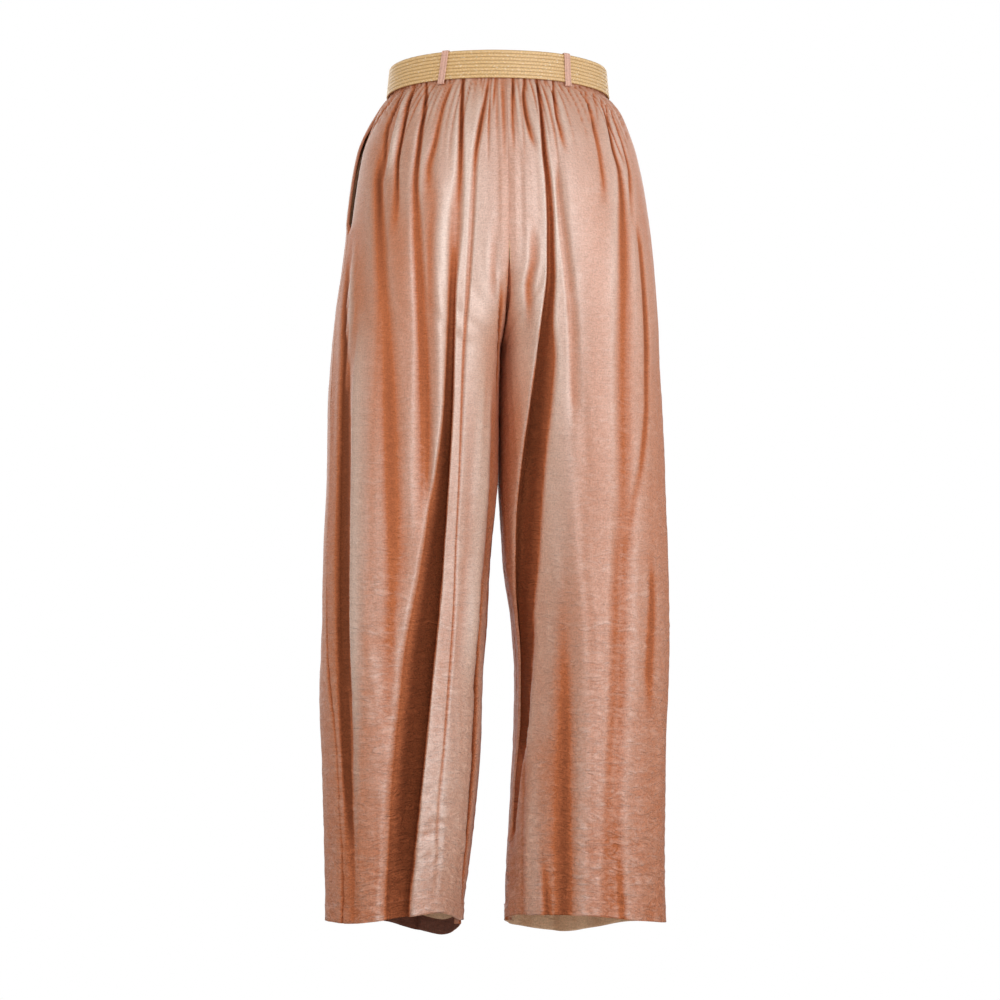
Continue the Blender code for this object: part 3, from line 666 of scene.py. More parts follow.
def crinkle(along, down, random):
    """Small creases of worn crepe, mostly level, stronger near the hem."""
    bend = BEND * smooth_field(along, down, *BEND_CELL, random)
    fine = smooth_field(along, down + bend, *FINE_CELL, random)
    coarse = smooth_field(along, down + bend * 2, *COARSE_CELL, random)
    slant = smooth_field(along + down * SLANT, down, *SLANT_CELL, random)
    strength = CRINKLE_AT_HIP
    for more, starts, full in CRINKLE_STEPS:
        strength = strength + more * ease(down, starts, full)
    strength = strength * ease(down, *CRINKLE_STARTS)
    patch = 1 - PATCHINESS + PATCHINESS * smooth_field(along, down, *PATCH_CELL, random)
    creased = (0.5 - np.abs(fine)) + (0.5 - np.abs(coarse)) + SLANT * (0.5 - np.abs(slant))
    return strength * patch * (creased - CREASED_MEAN)


def new_piece(name, points, faces, finishes):
    """An object of points in mm and the faces between them."""
    mesh = bpy.data.meshes.new(name)
    mesh.from_pydata((np.reshape(points, (-1, 3)) * MM).tolist(), [], faces)
    mesh.shade_smooth()
    for finish in finishes:
        mesh.materials.append(finish)
    made = bpy.data.objects.new(name, mesh)
    bpy.context.scene.collection.objects.link(made)
    return made


def map_cloth(mesh, along, up, relief):
    """Gives a mesh the cloth's own map in metres, and each point's relief from -1 to 1."""
    corner = np.zeros(len(mesh.loops), int)
    mesh.loops.foreach_get("vertex_index", corner)
    flat = np.column_stack([along.ravel(), up.ravel()]) * MM
    mesh.uv_layers.new(name="cloth").data.foreach_set("uv", flat[corner].ravel())
    values = mesh.attributes.new("relief", "FLOAT", "POINT").data
    values.foreach_set("value", relief.ravel().astype(np.float32))


def face_outwards(mesh):
    bm = bmesh.new()
    bm.from_mesh(mesh)
    bmesh.ops.recalc_face_normals(bm, faces=bm.faces)
    bm.to_mesh(mesh)
    bm.free()


def cloth_sheet(name, grid, along, down, relief, finishes, turned):
    """A thin closed shell from a grid of outer points, with the cloth's own map on it."""
    rows, columns = along.shape
    faces = []
    for r in range(rows - 1):
        for c in range(columns - 1):
            a = r * columns + c
            face = (a, a + columns, a + columns + 1, a + 1)
            faces.append(face[::-1] if turned else face)
    made = new_piece(name, grid, faces, finishes)
    map_cloth(made.data, along, -down, np.clip(relief / RELIEF_FULL, -1.0, 1.0))
    shell = made.modifiers.new("cloth thickness", "SOLIDIFY")
    shell.thickness = CLOTH_THICKNESS * MM
    shell.offset = -1.0
    shell.use_even_offset = False
    shell.material_offset = len(finishes) - 1
    bpy.context.view_layer.objects.active = made
    made.select_set(True)
    bpy.ops.object.modifier_apply(modifier=shell.name)
    made.select_set(False)
    return made


def feed(tree, socket, value):
    """Links a node's socket to another one, or sets it to a number or a colour."""
    if isinstance(value, bpy.types.NodeSocket):
        tree.links.new(value, socket)
    else:
        socket.default_value = value


def combined(tree, operation, *values):
    made = tree.nodes.new("ShaderNodeMath")
    made.operation = operation
    for socket, value in zip(made.inputs, values):
        feed(tree, socket, value)
    return made.outputs["Value"]


def remapped(tree, value, source, target=(0.0, 1.0)):
    """The value moved from one range to another and kept inside it."""
    made = tree.nodes.new("ShaderNodeMapRange")
    for end, number in zip(("From Min", "From Max", "To Min", "To Max"), (*source, *target)):
        made.inputs[end].default_value = number
    tree.links.new(value, made.inputs["Value"])
    return made.outputs["Result"]


def noise(tree, place, scale, detail, distortion=0.0):
    """Noise with this many cells to a metre along each axis of the place."""
    stretch = tree.nodes.new("ShaderNodeMapping")
    stretch.inputs["Scale"].default_value = scale
    tree.links.new(place, stretch.inputs["Vector"])
    made = tree.nodes.new("ShaderNodeTexNoise")
    made.inputs["Scale"].default_value = 1.0
    made.inputs["Detail"].default_value = detail
    made.inputs["Distortion"].default_value = distortion
    tree.links.new(stretch.outputs["Vector"], made.inputs["Vector"])
    return made.outputs["Fac"]


def ramped(tree, value, colours, interpolation):
    made = tree.nodes.new("ShaderNodeValToRGB")
    made.color_ramp.interpolation = interpolation
    points = made.color_ramp.elements
    while len(points) < len(colours):
        points.new(0.5)
    for point, (place, colour) in zip(points, colours):
        point.position = place
        point.color = (*colour, 1.0)
    tree.links.new(value, made.inputs["Fac"])
    return made.outputs["Color"]


def mixed(tree, factor, first, second, kind="MIX"):
    made = tree.nodes.new("ShaderNodeMix")
    made.data_type = "RGBA"
    made.blend_type = kind
    for key, value in (("Factor", factor), (6, first), (7, second)):
        feed(tree, made.inputs[key], value)
    return made.outputs[2]


def bumped(tree, height, strength, distance):
    made = tree.nodes.new("ShaderNodeBump")
    made.inputs["Strength"].default_value = strength
    made.inputs["Distance"].default_value = distance
    tree.links.new(height, made.inputs["Height"])
    return made.outputs["Normal"]


def cloth_place(tree):
    """Where a point lies on the cloth's own map in metres."""
    made = tree.nodes.new("ShaderNodeUVMap")
    made.uv_map = "cloth"
    return made.outputs["UV"]


def cloth_relief(tree):
    """From 0 at the bottom of a fold to 1 on top of a ridge."""
    made = tree.nodes.new("ShaderNodeAttribute")
    made.attribute_name = "relief"
    return remapped(tree, made.outputs["Fac"], (-1.0, 1.0))


def new_finish(name):
    """A material, its node tree and its shader."""
    made = bpy.data.materials.new(name)
    made.use_nodes = True
    return made, made.node_tree, made.node_tree.nodes["Principled BSDF"]


# Noises of the crepe: cells to a metre along, up and through the cloth, detail and
# distortion. Weft and warp are its threads, speckle their slubs, the rest its crinkle
WEFT = ((150.0, 700.0, 1.0), 2.0)
WARP = ((700.0, 110.0, 1.0), 2.0)
SPECKLE = ((520.0, 560.0, 1.0), 3.0)
WRINKLE = ((46.0, 120.0, 1.0), 3.0, 1.1)
RIPPLE = ((190.0, 330.0, 1.0), 2.0, 0.9)
RIPPLE_SHARE = 0.35
CRINKLE_MEAN = 0.245
# Crinkle rises from this share to all of it between these places down the cloth
CRINKLE_RISES = (-0.30, -0.95)
CRINKLE_SHARES = (0.3, 1.0)
# What threads, speckle and crinkle each add to the height and to the tone. The crinkle's
# tone is painted shade and light of its small creases, that of threads and speckle the
# crepe's own
GRAIN_HEIGHTS = (0.45, 0.45, 9.0)
GRAIN_TONES = (0.25, 0.5, 0.25)


def crepe_weave():
    """Weave, slubs and fine crinkle of the crepe, over the cloth's own map in metres."""
    group = bpy.data.node_groups.new("crepe weave", "ShaderNodeTree")
    for name, kind in (("Cloth", "NodeSocketVector"), ("Crinkle", "NodeSocketFloat")):
        group.interface.new_socket(name, in_out="INPUT", socket_type=kind)
    for name in ("Height", "Tone", "Crease"):
        group.interface.new_socket(name, in_out="OUTPUT", socket_type="NodeSocketFloat")
    given = group.nodes.new("NodeGroupInput").outputs
    results = group.nodes.new("NodeGroupOutput").inputs
    weft, warp, speckle, wrinkle, ripple = (
        noise(group, given["Cloth"], *kind) for kind in (WEFT, WARP, SPECKLE, WRINKLE, RIPPLE)
    )
    threads = combined(group, "ADD", weft, warp)
    creased = combined(group, "ABSOLUTE", combined(group, "SUBTRACT", wrinkle, 0.5))
    apart = group.nodes.new("ShaderNodeSeparateXYZ")
    group.links.new(given["Cloth"], apart.inputs["Vector"])
    lower = remapped(group, apart.outputs["Y"], CRINKLE_RISES, CRINKLE_SHARES)
    crinkled = combined(group, "ADD", creased, combined(group, "MULTIPLY", ripple, RIPPLE_SHARE))
    crinkled = combined(group, "SUBTRACT", crinkled, CRINKLE_MEAN)
    crinkled = combined(group, "MULTIPLY", crinkled, given["Crinkle"])
    crinkled = combined(group, "MULTIPLY", crinkled, lower)
    for name, weights in (("Height", GRAIN_HEIGHTS), ("Tone", GRAIN_TONES)):
        parts = [
            combined(group, "MULTIPLY", part, weight)
            for part, weight in zip((threads, speckle, crinkled), weights)
        ]
        grain = combined(group, "ADD", parts[0], parts[1])
        group.links.new(combined(group, "ADD", grain, parts[2]), results[name])
    # Crease moves the colour with the crinkle: painted shade and light of its small creases
    group.links.new(crinkled, results["Crease"])
    return group


WEAVE = crepe_weave()
# How the weave's tone turns into the depth of the colour and into sparkle, and how relief
# turns into lustre on the ridges and into a dull surface in the folds
TONE = (0.38, 0.62)
TONE_COLOURS = (0.80, 1.15)
TONE_SPARKLE = (0.75, 1.12)
BLOOM = (0.36, 0.66)
DULL = (0.10, 0.50)
DULL_ROUGHNESS = 0.95
# How far the crinkle moves the colour, as painted shade and light of its creases
CREASE_COLOURS = 0.38
LUSTRE_ROUGHNESS = 0.56
LUSTRE_IOR = 3.2


def crepe(name, colours, roughness, specular, crinkle_share, bump, lustre=0.0):
    """Crepe of one side: colours run from the bottom of a fold to the top of a ridge, as painted shade in
    the folds and painted sheen on the ridges.

    Lustre is the sheen of the satin face, a coat that is strongest on the ridges.
    """
    made, tree, shader = new_finish(name)
    weave = tree.nodes.new("ShaderNodeGroup")
    weave.node_tree = WEAVE
    weave.inputs["Crinkle"].default_value = crinkle_share
    tree.links.new(cloth_place(tree), weave.inputs["Cloth"])
    relief = cloth_relief(tree)
    crumpled = combined(tree, "MULTIPLY_ADD", weave.outputs["Crease"], CREASE_COLOURS, relief)
    tone = remapped(tree, weave.outputs["Tone"], TONE, TONE_COLOURS)
    shade = mixed(tree, 1.0, ramped(tree, crumpled, colours, "B_SPLINE"), tone, "MULTIPLY")
    tree.links.new(shade, shader.inputs["Base Color"])
    tree.links.new(bumped(tree, weave.outputs["Height"], 1.0, bump), shader.inputs["Normal"])
    dull = remapped(tree, relief, DULL, (DULL_ROUGHNESS, roughness))
    tree.links.new(dull, shader.inputs["Roughness"])
    shader.inputs["Specular IOR Level"].default_value = specular
    if lustre > 0:
        bloom = remapped(tree, crumpled, BLOOM, (0.0, lustre))
        sparkle = remapped(tree, weave.outputs["Tone"], TONE, TONE_SPARKLE)
        sheen = combined(tree, "MULTIPLY", bloom, sparkle)
        tree.links.new(sheen, shader.inputs["Coat Weight"])
        shader.inputs["Coat Roughness"].default_value = LUSTRE_ROUGHNESS
        shader.inputs["Coat IOR"].default_value = LUSTRE_IOR
    return made


# The satin face: the deep rust at the bottom of a fold is painted shade, the pale near-white on top of a
# ridge painted sheen
FACE_COLOURS = [
    (0.0, (0.18, 0.046, 0.016)),
    (0.30, (0.48, 0.142, 0.058)),
    (0.50, (0.65, 0.214, 0.082)),
    (0.68, (0.745, 0.334, 0.182)),
    (0.86, (0.80, 0.515, 0.378)),
]
# The wrong side, a little darker in its folds as painted shade
BACK_COLOURS = [
    (0.2, (0.62, 0.38, 0.23)),
    (0.6, (0.74, 0.50, 0.32)),
]
CREPE_FACE = crepe("crepe satin face", FACE_COLOURS, 0.65, 0.1, 1.2, 0.0007, lustre=1.0)
CREPE_BACK = crepe("crepe wrong side", BACK_COLOURS, 0.75, 0.3, 0.7, 0.0004)
# The inside of the left front hem, below the line of its turn-up, painted dark as the shade under the back
# one
PAINTED_SHADE_COLOURS = [
    (0.2, (0.135, 0.052, 0.034)),
    (0.6, (0.190, 0.080, 0.055)),
]
CREPE_PAINTED_SHADE = crepe("crepe inside in painted shade", PAINTED_SHADE_COLOURS, 0.8, 0.1, 0.7, 0.0004)
CREPE_PLAIN = crepe("crepe without gathers", FACE_COLOURS, 0.65, 0.2, 0.5, 0.0005, lustre=0.85)


def dress_panel(name, creases, columns, rows, seed):
    random = np.random.default_rng(seed)
    face, side = name.split("_")
    grid, along, down, relief = lay_out_panel(name, creases, columns, rows, random)
    turned = (face == "back") != (side == "left")
    finishes = [CREPE_FACE, CREPE_BACK]
    piece = cloth_sheet(name + "_cloth", grid, along, down, relief, finishes, turned)
    # The inside of the left front hem gets a dark finish of painted shade
    if name == "front_left":
        piece.data.materials.append(CREPE_PAINTED_SHADE)
        places = piece.data.uv_layers["cloth"].data
        hem = -(HEM - HEM_TURN) * MM
        for patch in piece.data.polygons:
            if patch.material_index == 1 and places[patch.loop_start].uv.y < hem:
                patch.material_index = 2
    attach(piece, "root")
    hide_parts(name)
    shown = grid[:, len(SEAM_ALLOWANCE):-len(SEAM_ALLOWANCE)]
    row = int(np.searchsorted(down[:, 0], HEM - HEM_TURN))
    sewn = stitches(name + "_hem_stitches", shown[row, 1:-1])
    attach(sewn, "root")


def stitches(name, line):
    """Short rounded stitches along a line of points in mm, as one joined mesh."""
    lengths = lengths_along(line)

    def point_at(distance):
        return np.array([np.interp(distance, lengths, line[:, k]) for k in range(3)])

    points = []
    faces = []
    for k in range(int(lengths[-1] / STITCH_PITCH)):
        start = point_at((k + STITCH_STARTS) * STITCH_PITCH)
        end = point_at((k + STITCH_STARTS) * STITCH_PITCH + STITCH_LENGTH)
        axis = (end - start) / np.linalg.norm(end - start)
        side = np.cross(axis, (0.0, 0.0, 1.0))
        side /= np.linalg.norm(side)
        up = np.cross(side, axis)
        first = len(points)
        for share, girth in STITCH_SHAPE:
            for turn in range(STITCH_SIDES):
                a = 2 * math.pi * turn / STITCH_SIDES
                ring = math.cos(a) * side + math.sin(a) * up
                points.append(start + (end - start) * share + ring * girth * STITCH_RADIUS)
        for ring in range(len(STITCH_SHAPE) - 1):
            for turn in range(STITCH_SIDES):
                a = first + ring * STITCH_SIDES + turn
                b = first + ring * STITCH_SIDES + (turn + 1) % STITCH_SIDES
                faces.append((a, b, b + STITCH_SIDES, a + STITCH_SIDES))
        last = first + (len(STITCH_SHAPE) - 1) * STITCH_SIDES
        faces.append([first + turn for turn in range(STITCH_SIDES)][::-1])
        faces.append([last + turn for turn in range(STITCH_SIDES)])
    made = new_piece(name, points, faces, [THREAD])
    face_outwards(made.data)
    return made


def sewing_thread():
    """Spun polyester thread: its plies show as small spots of light and dark."""
    made, tree, shader = new_finish("sewing thread")
    place = tree.nodes.new("ShaderNodeTexCoord")
    plies = tree.nodes.new("ShaderNodeTexNoise")
    plies.inputs["Scale"].default_value = THREAD_PLIES
    plies.inputs["Detail"].default_value = 1.0
    tree.links.new(place.outputs["Object"], plies.inputs["Vector"])
    colour = mixed(tree, plies.outputs["Fac"], (*THREAD_DARK, 1.0), (*THREAD_LIGHT, 1.0))
    tree.links.new(colour, shader.inputs["Base Color"])
    shader.inputs["Roughness"].default_value = 0.6
    shader.inputs["Specular IOR Level"].default_value = 0.3
    return made


# From one stitch to the next, a stitch's length, and where in its pitch it starts
STITCH_PITCH = 3.4
STITCH_LENGTH = 2.6
STITCH_STARTS = 0.15
STITCH_RADIUS = 0.2
STITCH_SIDES = 6
# share of a stitch's length, then its girth there as a share of the full one
STITCH_SHAPE = ((0.0, 0.35), (0.12, 1.0), (0.88, 1.0), (1.0, 0.35))
THREAD_PLIES = 2600.0
THREAD_DARK = (0.28, 0.080, 0.034)
THREAD_LIGHT = (0.52, 0.19, 0.095)
THREAD = sewing_thread()
for name, creases, seed in (
    ("back_left", BACK_LEFT_CREASES, 3),
    ("back_right", BACK_RIGHT_CREASES, 5),
):
    dress_panel(name, creases, BACK_COLUMNS, BACK_ROWS, seed)

# --------------------------------------------------------------- front panels
# The front panels are the same crepe. Each has its own gathers, a few long folds of
# uneven depth and some folds at its side, and hangs lower at the inner half of the hem.

FRONT_LEFT_CREASES = [
    [(14, 118, 4, 4, 3), (60, 131, 5, 5, 4), (120, 139, 4, 6, 5), (170, 142, 0, 7, 6)],
    [(14, 104, 3, 3, 3), (44, 110, 5, 4, 4), (96, 118, 3, 5, 4), (132, 121, 0, 5, 5)],
    [(14, 92, 4, 3, 3), (38, 95, 4, 4, 3), (70, 99, 0, 4, 4)],
    [(14, 78, 6, 4, 3), (60, 75, 7, 5, 4), (150, 84, 8, 6, 4), (250, 92, 7, 8, 5),
     (350, 99, 6, 11, 7), (560, 110, 5, 17, 10), (780, 122, 3, 20, 12), (900, 128, 0, 20, 12)],
    [(14, 62, 4, 3, 3), (50, 64, 5, 4, 3), (105, 68, 0, 4, 4)],
    [(14, 51, 4, 3, 3), (30, 52, 0, 3, 3)],
    [(14, 40, 6, 4, 3), (50, 38, 7, 4, 4), (150, 43, 9, 5, 4), (250, 47, 9, 7, 4),
     (350, 52, 12, 9, 4), (560, 62, 16, 14, 4), (850, 84, 18, 18, 5), (1000, 96, 15, 19, 7)],
    [(14, 28, 5, 3, 3), (62, 30, 4, 4, 4), (118, 34, 0, 4, 4)],
    [(14, 17, 5, 3, 3), (46, 17, 6, 4, 3), (90, 19, 3, 4, 4), (140, 21, 0, 5, 5)],
    [(14, 7, 4, 3, 3), (58, 7, 0, 3, 3)],
    [(210, 134, 0, 9, 8), (300, 141, 5, 12, 10), (450, 152, 6, 16, 13), (700, 160, 4, 18, 16),
     (860, 166, 0, 18, 16)],
    [(540, 138, 0, 14, 12), (700, 144, 6, 17, 10), (860, 150, 9, 18, 9), (1000, 154, 8, 18, 10)],
    [(150, 70, 0, 9, 9), (300, 76, -4, 12, 11), (600, 87, -6, 15, 13), (1000, 118, -5, 16, 14)],
    [(200, 26, 0, 4, 4), (290, 30, 4.5, 6.3, 4), (420, 34, 4.5, 7.4, 5), (600, 42, 0, 8, 6)],
    [(250, 188, 0, 10, 9), (360, 200.5, 5, 14, 11), (560, 206.5, 8, 17, 12), (800, 208.5, 7, 18, 13),
     (1000, 203, 8, 18, 14)],
    [(420, 184, 0, 10, 10), (620, 194, 5, 15, 12), (860, 191, 8, 17, 12), (1000, 187, 7, 17, 12)],
    [(180, 176, 0, 8, 7), (300, 187, 5, 10, 8), (430, 196, 0, 12, 10)],
]
FRONT_RIGHT_CREASES = [
    [(14, 120, 4, 4, 3), (52, 130, 5, 5, 4), (104, 138, 0, 6, 5)],
    [(14, 110, 4, 3, 3), (40, 115, 5, 4, 3), (140, 128, 4, 6, 5), (210, 134, 0, 7, 6)],
    [(14, 96, 4, 3, 3), (48, 100, 0, 4, 4)],
    [(14, 86, 5, 4, 3), (66, 92, 5, 5, 4), (126, 98, 0, 5, 5)],
    [(14, 72, 6, 4, 3), (60, 73, 8, 5, 4), (150, 80, 10, 6, 4), (250, 86, 11, 8, 4),
     (450, 91, 13, 12, 4), (700, 92, 16, 17, 5), (1000, 88, 13, 18, 8)],
    [(14, 60, 4, 3, 3), (36, 61, 4, 3, 3), (80, 64, 0, 4, 4)],
    [(14, 47, 5, 3, 3), (72, 50, 4, 4, 4), (128, 54, 0, 5, 5)],
    [(14, 35, 6, 4, 3), (50, 36, 7, 4, 4), (150, 42, 8, 5, 4), (250, 46, 7, 7, 5),
     (450, 52, 5, 12, 8), (620, 56, 0, 14, 10)],
    [(14, 24, 4, 3, 3), (34, 24, 5, 3, 3), (86, 26, 0, 4, 4)],
    [(14, 13, 5, 3, 3), (70, 13, 4, 4, 3), (150, 15, 0, 5, 4)],
    [(330, 134, 0, 12, 9), (450, 140, 4, 14, 10), (640, 144, 8, 15, 9), (820, 141, 10, 16, 9),
     (1000, 136, 8, 16, 11)],
    [(640, 46, 0, 12, 10), (780, 44, 4, 14, 9), (900, 40, 6, 14, 8), (1000, 38, 6, 14, 8)],
    [(160, 62, 0, 9, 9), (320, 67, -4, 12, 11), (640, 70, -6, 15, 13), (1000, 64, -5, 15, 13)],
    [(230, 24, 0, 4, 4), (330, 28, 4.5, 6.3, 5), (520, 36, 4.5, 8.4, 6), (700, 44, 0, 8, 7)],
    [(230, 180, 0, 10, 9), (340, 190, 6, 13, 10), (520, 199, 7, 16, 12), (720, 200.5, 9, 18, 13),
     (1000, 196, 7, 18, 14)],
    [(520, 184, 0, 12, 10), (700, 187, 6, 15, 12), (900, 183, 7, 16, 12), (1000, 181, 7, 16, 12)],
    [(170, 172, 0, 8, 7), (290, 181, 4, 10, 8), (400, 186, 0, 12, 10)],
]
FRONT_COLUMNS = 124
FRONT_ROWS = 236
for name, creases, seed in (
    ("front_left", FRONT_LEFT_CREASES, 7),
    ("front_right", FRONT_RIGHT_CREASES, 9),
):
    dress_panel(name, creases, FRONT_COLUMNS, FRONT_ROWS, seed)

# ------------------------------------------------------------- pocket facings
# Behind the mouth of each side pocket lies a facing of the same crepe, sewn to the
# back panel and passing forward under the pocket's front lip.

FACING_DEPTH = 3.6
FACING_TOP = 26.0
FACING_BOTTOM = 228.0
FACING_BEHIND = 26.0
FACING_FORWARD = 44.0
# how much deeper it lies behind the open mouth, its slow waves, and the painted shade of its colour in
# there
FACING_YIELDS = 1.4
FACING_WAVES = 0.35
FACING_WAVE_CELL = (9, 26)
FACING_PAINTED_SHADE = -1.6
FACING_ROWS = 52
FACING_COLUMNS = 26


def facing_grid(side):
    """Points of the facing, laid inside both panels either side of the side seam."""
    outwards = 1 if side == "left" else -1
    heights = np.linspace(FACING_TOP, FACING_BOTTOM, FACING_ROWS)
    grid = np.zeros((FACING_ROWS, FACING_COLUMNS, 3))
    across = np.linspace(-FACING_BEHIND, FACING_FORWARD, FACING_COLUMNS)
    for r, height in enumerate(heights):
        for face, towards, kept in (("back", 1, across < 0), ("front", -1, across >= 0)):
            points, lengths = panel_path(face + "_" + side, height)
            normals = outward_normals(points)
            distance = np.abs(across[kept])
            here = [np.interp(distance, lengths, points[:, k]) for k in (0, 1)]
            out = [np.interp(distance, lengths, normals[:, k]) for k in (0, 1)]
            inward = FACING_DEPTH + FACING_YIELDS * pocket_opening(height)
            grid[r, kept, 0] = outwards * (here[0] - out[0] * inward)
            grid[r, kept, 1] = towards * (here[1] - out[1] * inward)
        tilt = WAIST_TILT * grid[r, :, 1] * (1 - ease(height, PANEL_TOP, TILT_ENDS))
        grid[r, :, 2] = -height + tilt
    along, down = np.meshgrid(across, heights)
    waves = smooth_field(along, down, *FACING_WAVE_CELL, np.random.default_rng(31))
    grid[:, :, 0] += outwards * FACING_WAVES * waves
    return grid, along, down


for side in ("left", "right"):
    grid, along, down = facing_grid(side)
    relief = np.full_like(along, FACING_PAINTED_SHADE)
    finishes = [CREPE_PLAIN, CREPE_BACK]
    turned = side == "left"
    piece = cloth_sheet(f"pocket_{side}_facing", grid, along, down, relief, finishes, turned)
    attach(piece, "root")
    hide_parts("pocket_" + side)

# ------------------------------------------------------------------ waistband
# The waistband is the same crepe folded over a 30 mm elastic, in a back and a front
# piece joined at the side seams. The elastic ruches its inner face all round.

WAIST_HALF_WIDTH = 130.5
WAIST_HALF_BACK = 98.0
WAIST_HALF_FRONT = 99.0
# how much wider the oval gets for each millimetre down
WAIST_FLARE = 0.1
RING_STEPS = 2001
BAND_HALF_HEIGHT = 14.6
BAND_WALL = 2.0
BAND_RUCHE = 0.9
# Its grid, how far from its ends the ruching sets in, and how far the wall is drawn in
BAND_INNER_ROWS = 12
BAND_OUTER_ROWS = 6
BAND_STEP = 0.9
BAND_END_FADES = 3.0
BAND_INSET = 0.35
# Its ruching: cells of the gathers and of the bends in them, how far they bend, how much
# of them shows outside, at the edges and in the colour as painted shade and light, and how
# late it fades to the edges
RUCHE_CELL = (2.6, 22)
RUCHE_BEND = 2.0
RUCHE_BEND_CELL = (9, 11)
RUCHE_OUTSIDE = 0.25
RUCHE_AT_EDGES = 0.35
RUCHE_RELIEF = 0.6
RUCHE_ENDS = 6
# How far inside the oval its outer face lies, and what counts as its very edge
BAND_CLEAR = 0.1
BAND_EDGE = 0.1


def ring_points(angle, outset, height):
    """Points round the waist's oval in mm. Angle 0 is the left side, 90 degrees the back."""
    half_depth = np.where(np.sin(angle) > 0, WAIST_HALF_BACK, WAIST_HALF_FRONT)
    nx = half_depth * np.cos(angle)
    ny = WAIST_HALF_WIDTH * np.sin(angle)
    length = np.hypot(nx, ny)
    reach = outset - WAIST_FLARE * height
    x = WAIST_HALF_WIDTH * np.cos(angle) + reach * nx / length
    y = half_depth * np.sin(angle) + reach * ny / length
    return np.stack([x, y, height + WAIST_TILT * y], axis=-1)


def ring_angles(start, end, step):
    """Angles between two given in degrees, evenly spaced along the oval by about step mm."""
    fine = np.radians(np.linspace(start, end, RING_STEPS))
    lengths = lengths_along(ring_points(fine, np.zeros_like(fine), np.zeros_like(fine)))
    count = max(2, round(lengths[-1] / step))
    at = np.linspace(0, lengths[-1], count + 1)
    return np.interp(at, lengths, fine), at


def tube_strip(name, points, around, up, relief, finish):
    """A closed strip: each column of points goes round its section, and its ends are capped."""
    rows, columns = around.shape
    faces = []
    for r in range(rows):
        this = r * columns
        after = (r + 1) % rows * columns
        for c in range(columns - 1):
            faces.append((this + c, this + c + 1, after + c + 1, after + c))
    faces.append([r * columns for r in range(rows)])
    faces.append([r * columns + columns - 1 for r in range(rows)][::-1])
    made = new_piece(name, points, faces, [finish])
    map_cloth(made.data, around, up, relief)
    face_outwards(made.data)
    return made


def ruched_band(name, start, end, seed):
    random = np.random.default_rng(seed)
    angles, lengths = ring_angles(start, end, BAND_STEP)
    inner_rows = np.linspace(BAND_HALF_HEIGHT, -BAND_HALF_HEIGHT, BAND_INNER_ROWS)
    outer_rows = np.linspace(-BAND_HALF_HEIGHT, BAND_HALF_HEIGHT, BAND_OUTER_ROWS)
    heights = np.concatenate([inner_rows, outer_rows])
    is_inner = (np.arange(len(heights)) < BAND_INNER_ROWS)[:, None]
    grid_along, grid_up = np.meshgrid(lengths, heights)
    bend = RUCHE_BEND * smooth_field(grid_along, grid_up, *RUCHE_BEND_CELL, random)
    ruche = smooth_field(grid_along + bend, grid_up, *RUCHE_CELL, random)
    last = lengths[-1]
    fade = ease(grid_along, 0.0, BAND_END_FADES)
    fade *= 1 - ease(grid_along, last - BAND_END_FADES, last)
    edge = 1 - np.abs(grid_up / BAND_HALF_HEIGHT) ** RUCHE_ENDS
    rise = BAND_RUCHE * ruche * fade
    inner_face = -BAND_WALL + BAND_INSET + (rise - BAND_INSET) * edge
    outset = np.where(is_inner, inner_face, RUCHE_OUTSIDE * rise - BAND_CLEAR)
    at_edge = np.abs(grid_up) > BAND_HALF_HEIGHT - BAND_EDGE
    lift = RUCHE_AT_EDGES * ruche * fade * at_edge
    points = ring_points(angles, outset, grid_up + lift)
    # The colour darkens and lightens with the ruching, as painted shade and light
    relief = np.clip(-ruche, -1, 1) * RUCHE_RELIEF
    return tube_strip(name, points, grid_along, grid_up, relief, CREPE_PLAIN)


# Half the slit between the two pieces at a side seam, in degrees
SEAM_SLIT = 0.1
left_seam = math.degrees(math.asin(SIDE_SEAMS[0, 1] / WAIST_HALF_BACK))
right_seam = 180 - math.degrees(math.asin(SIDE_SEAMS[0, 2] / WAIST_HALF_BACK))
for face, start, end, seed in (
    ("back", left_seam + SEAM_SLIT, right_seam - SEAM_SLIT, 41),
    ("front", right_seam + SEAM_SLIT, 360 + left_seam - SEAM_SLIT, 43),
):
    piece = ruched_band(f"waistband_{face}_ruched", start, end, seed)
    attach(piece, "root")
    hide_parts("waistband_" + face)

# ----------------------------------------------------------------------- belt
# The belt is an elastic strap woven from straw-look cord: eight flat plaits side by
# side, each with slanting strands, and a few pale flecks among them, painted glints of
# metallic threads. Its colour is darker between plaits and strands, as painted shade.

BELT_HALF_HEIGHT = 17.0
BELT_INNER = 0.6
BELT_WALL = 2.4
STRAP_END = 8.0
PLAITS = 8
ROWS_IN_PLAIT = 6
PLAIT_RISE = 0.5
STRAND_PITCH = 3.3
STRAND_RISE = 0.4
BELT_STEP = 0.62
BELT_EDGE = 0.4
BELT_INNER_ROWS = 5
STRAND_SLANT = 3.4
# Power of the sine in the section of a plait and of a strand, the smaller the squarer,
# and the part of a strand's bulge that lies below the plait's own face
PLAIT_FULLNESS = 0.6
STRAND_FULLNESS = 0.7
STRAND_BELOW = 0.6
# How unevenly the strands lie, how far the strap sways up and down, wobbles between its
# edges and stands off the waist, each with the size of its cells
STRANDS_WANDER = 0.8
WANDER_CELL = (7, 4.3)
STRAP_SWAY = 0.45
SWAY_CELL = (46, 50)
STRAP_WOBBLE = 0.25
WOBBLE_CELL = (12, 8.6)
STRAP_STANDS_OFF = 0.5
STANDS_OFF_CELL = (60, 50)
# The relief of the strands beside that of the plaits, and of the strap's inner side, which the colour
# follows as painted shade
STRANDS_SHOW = 0.65
INNER_RELIEF = -0.3


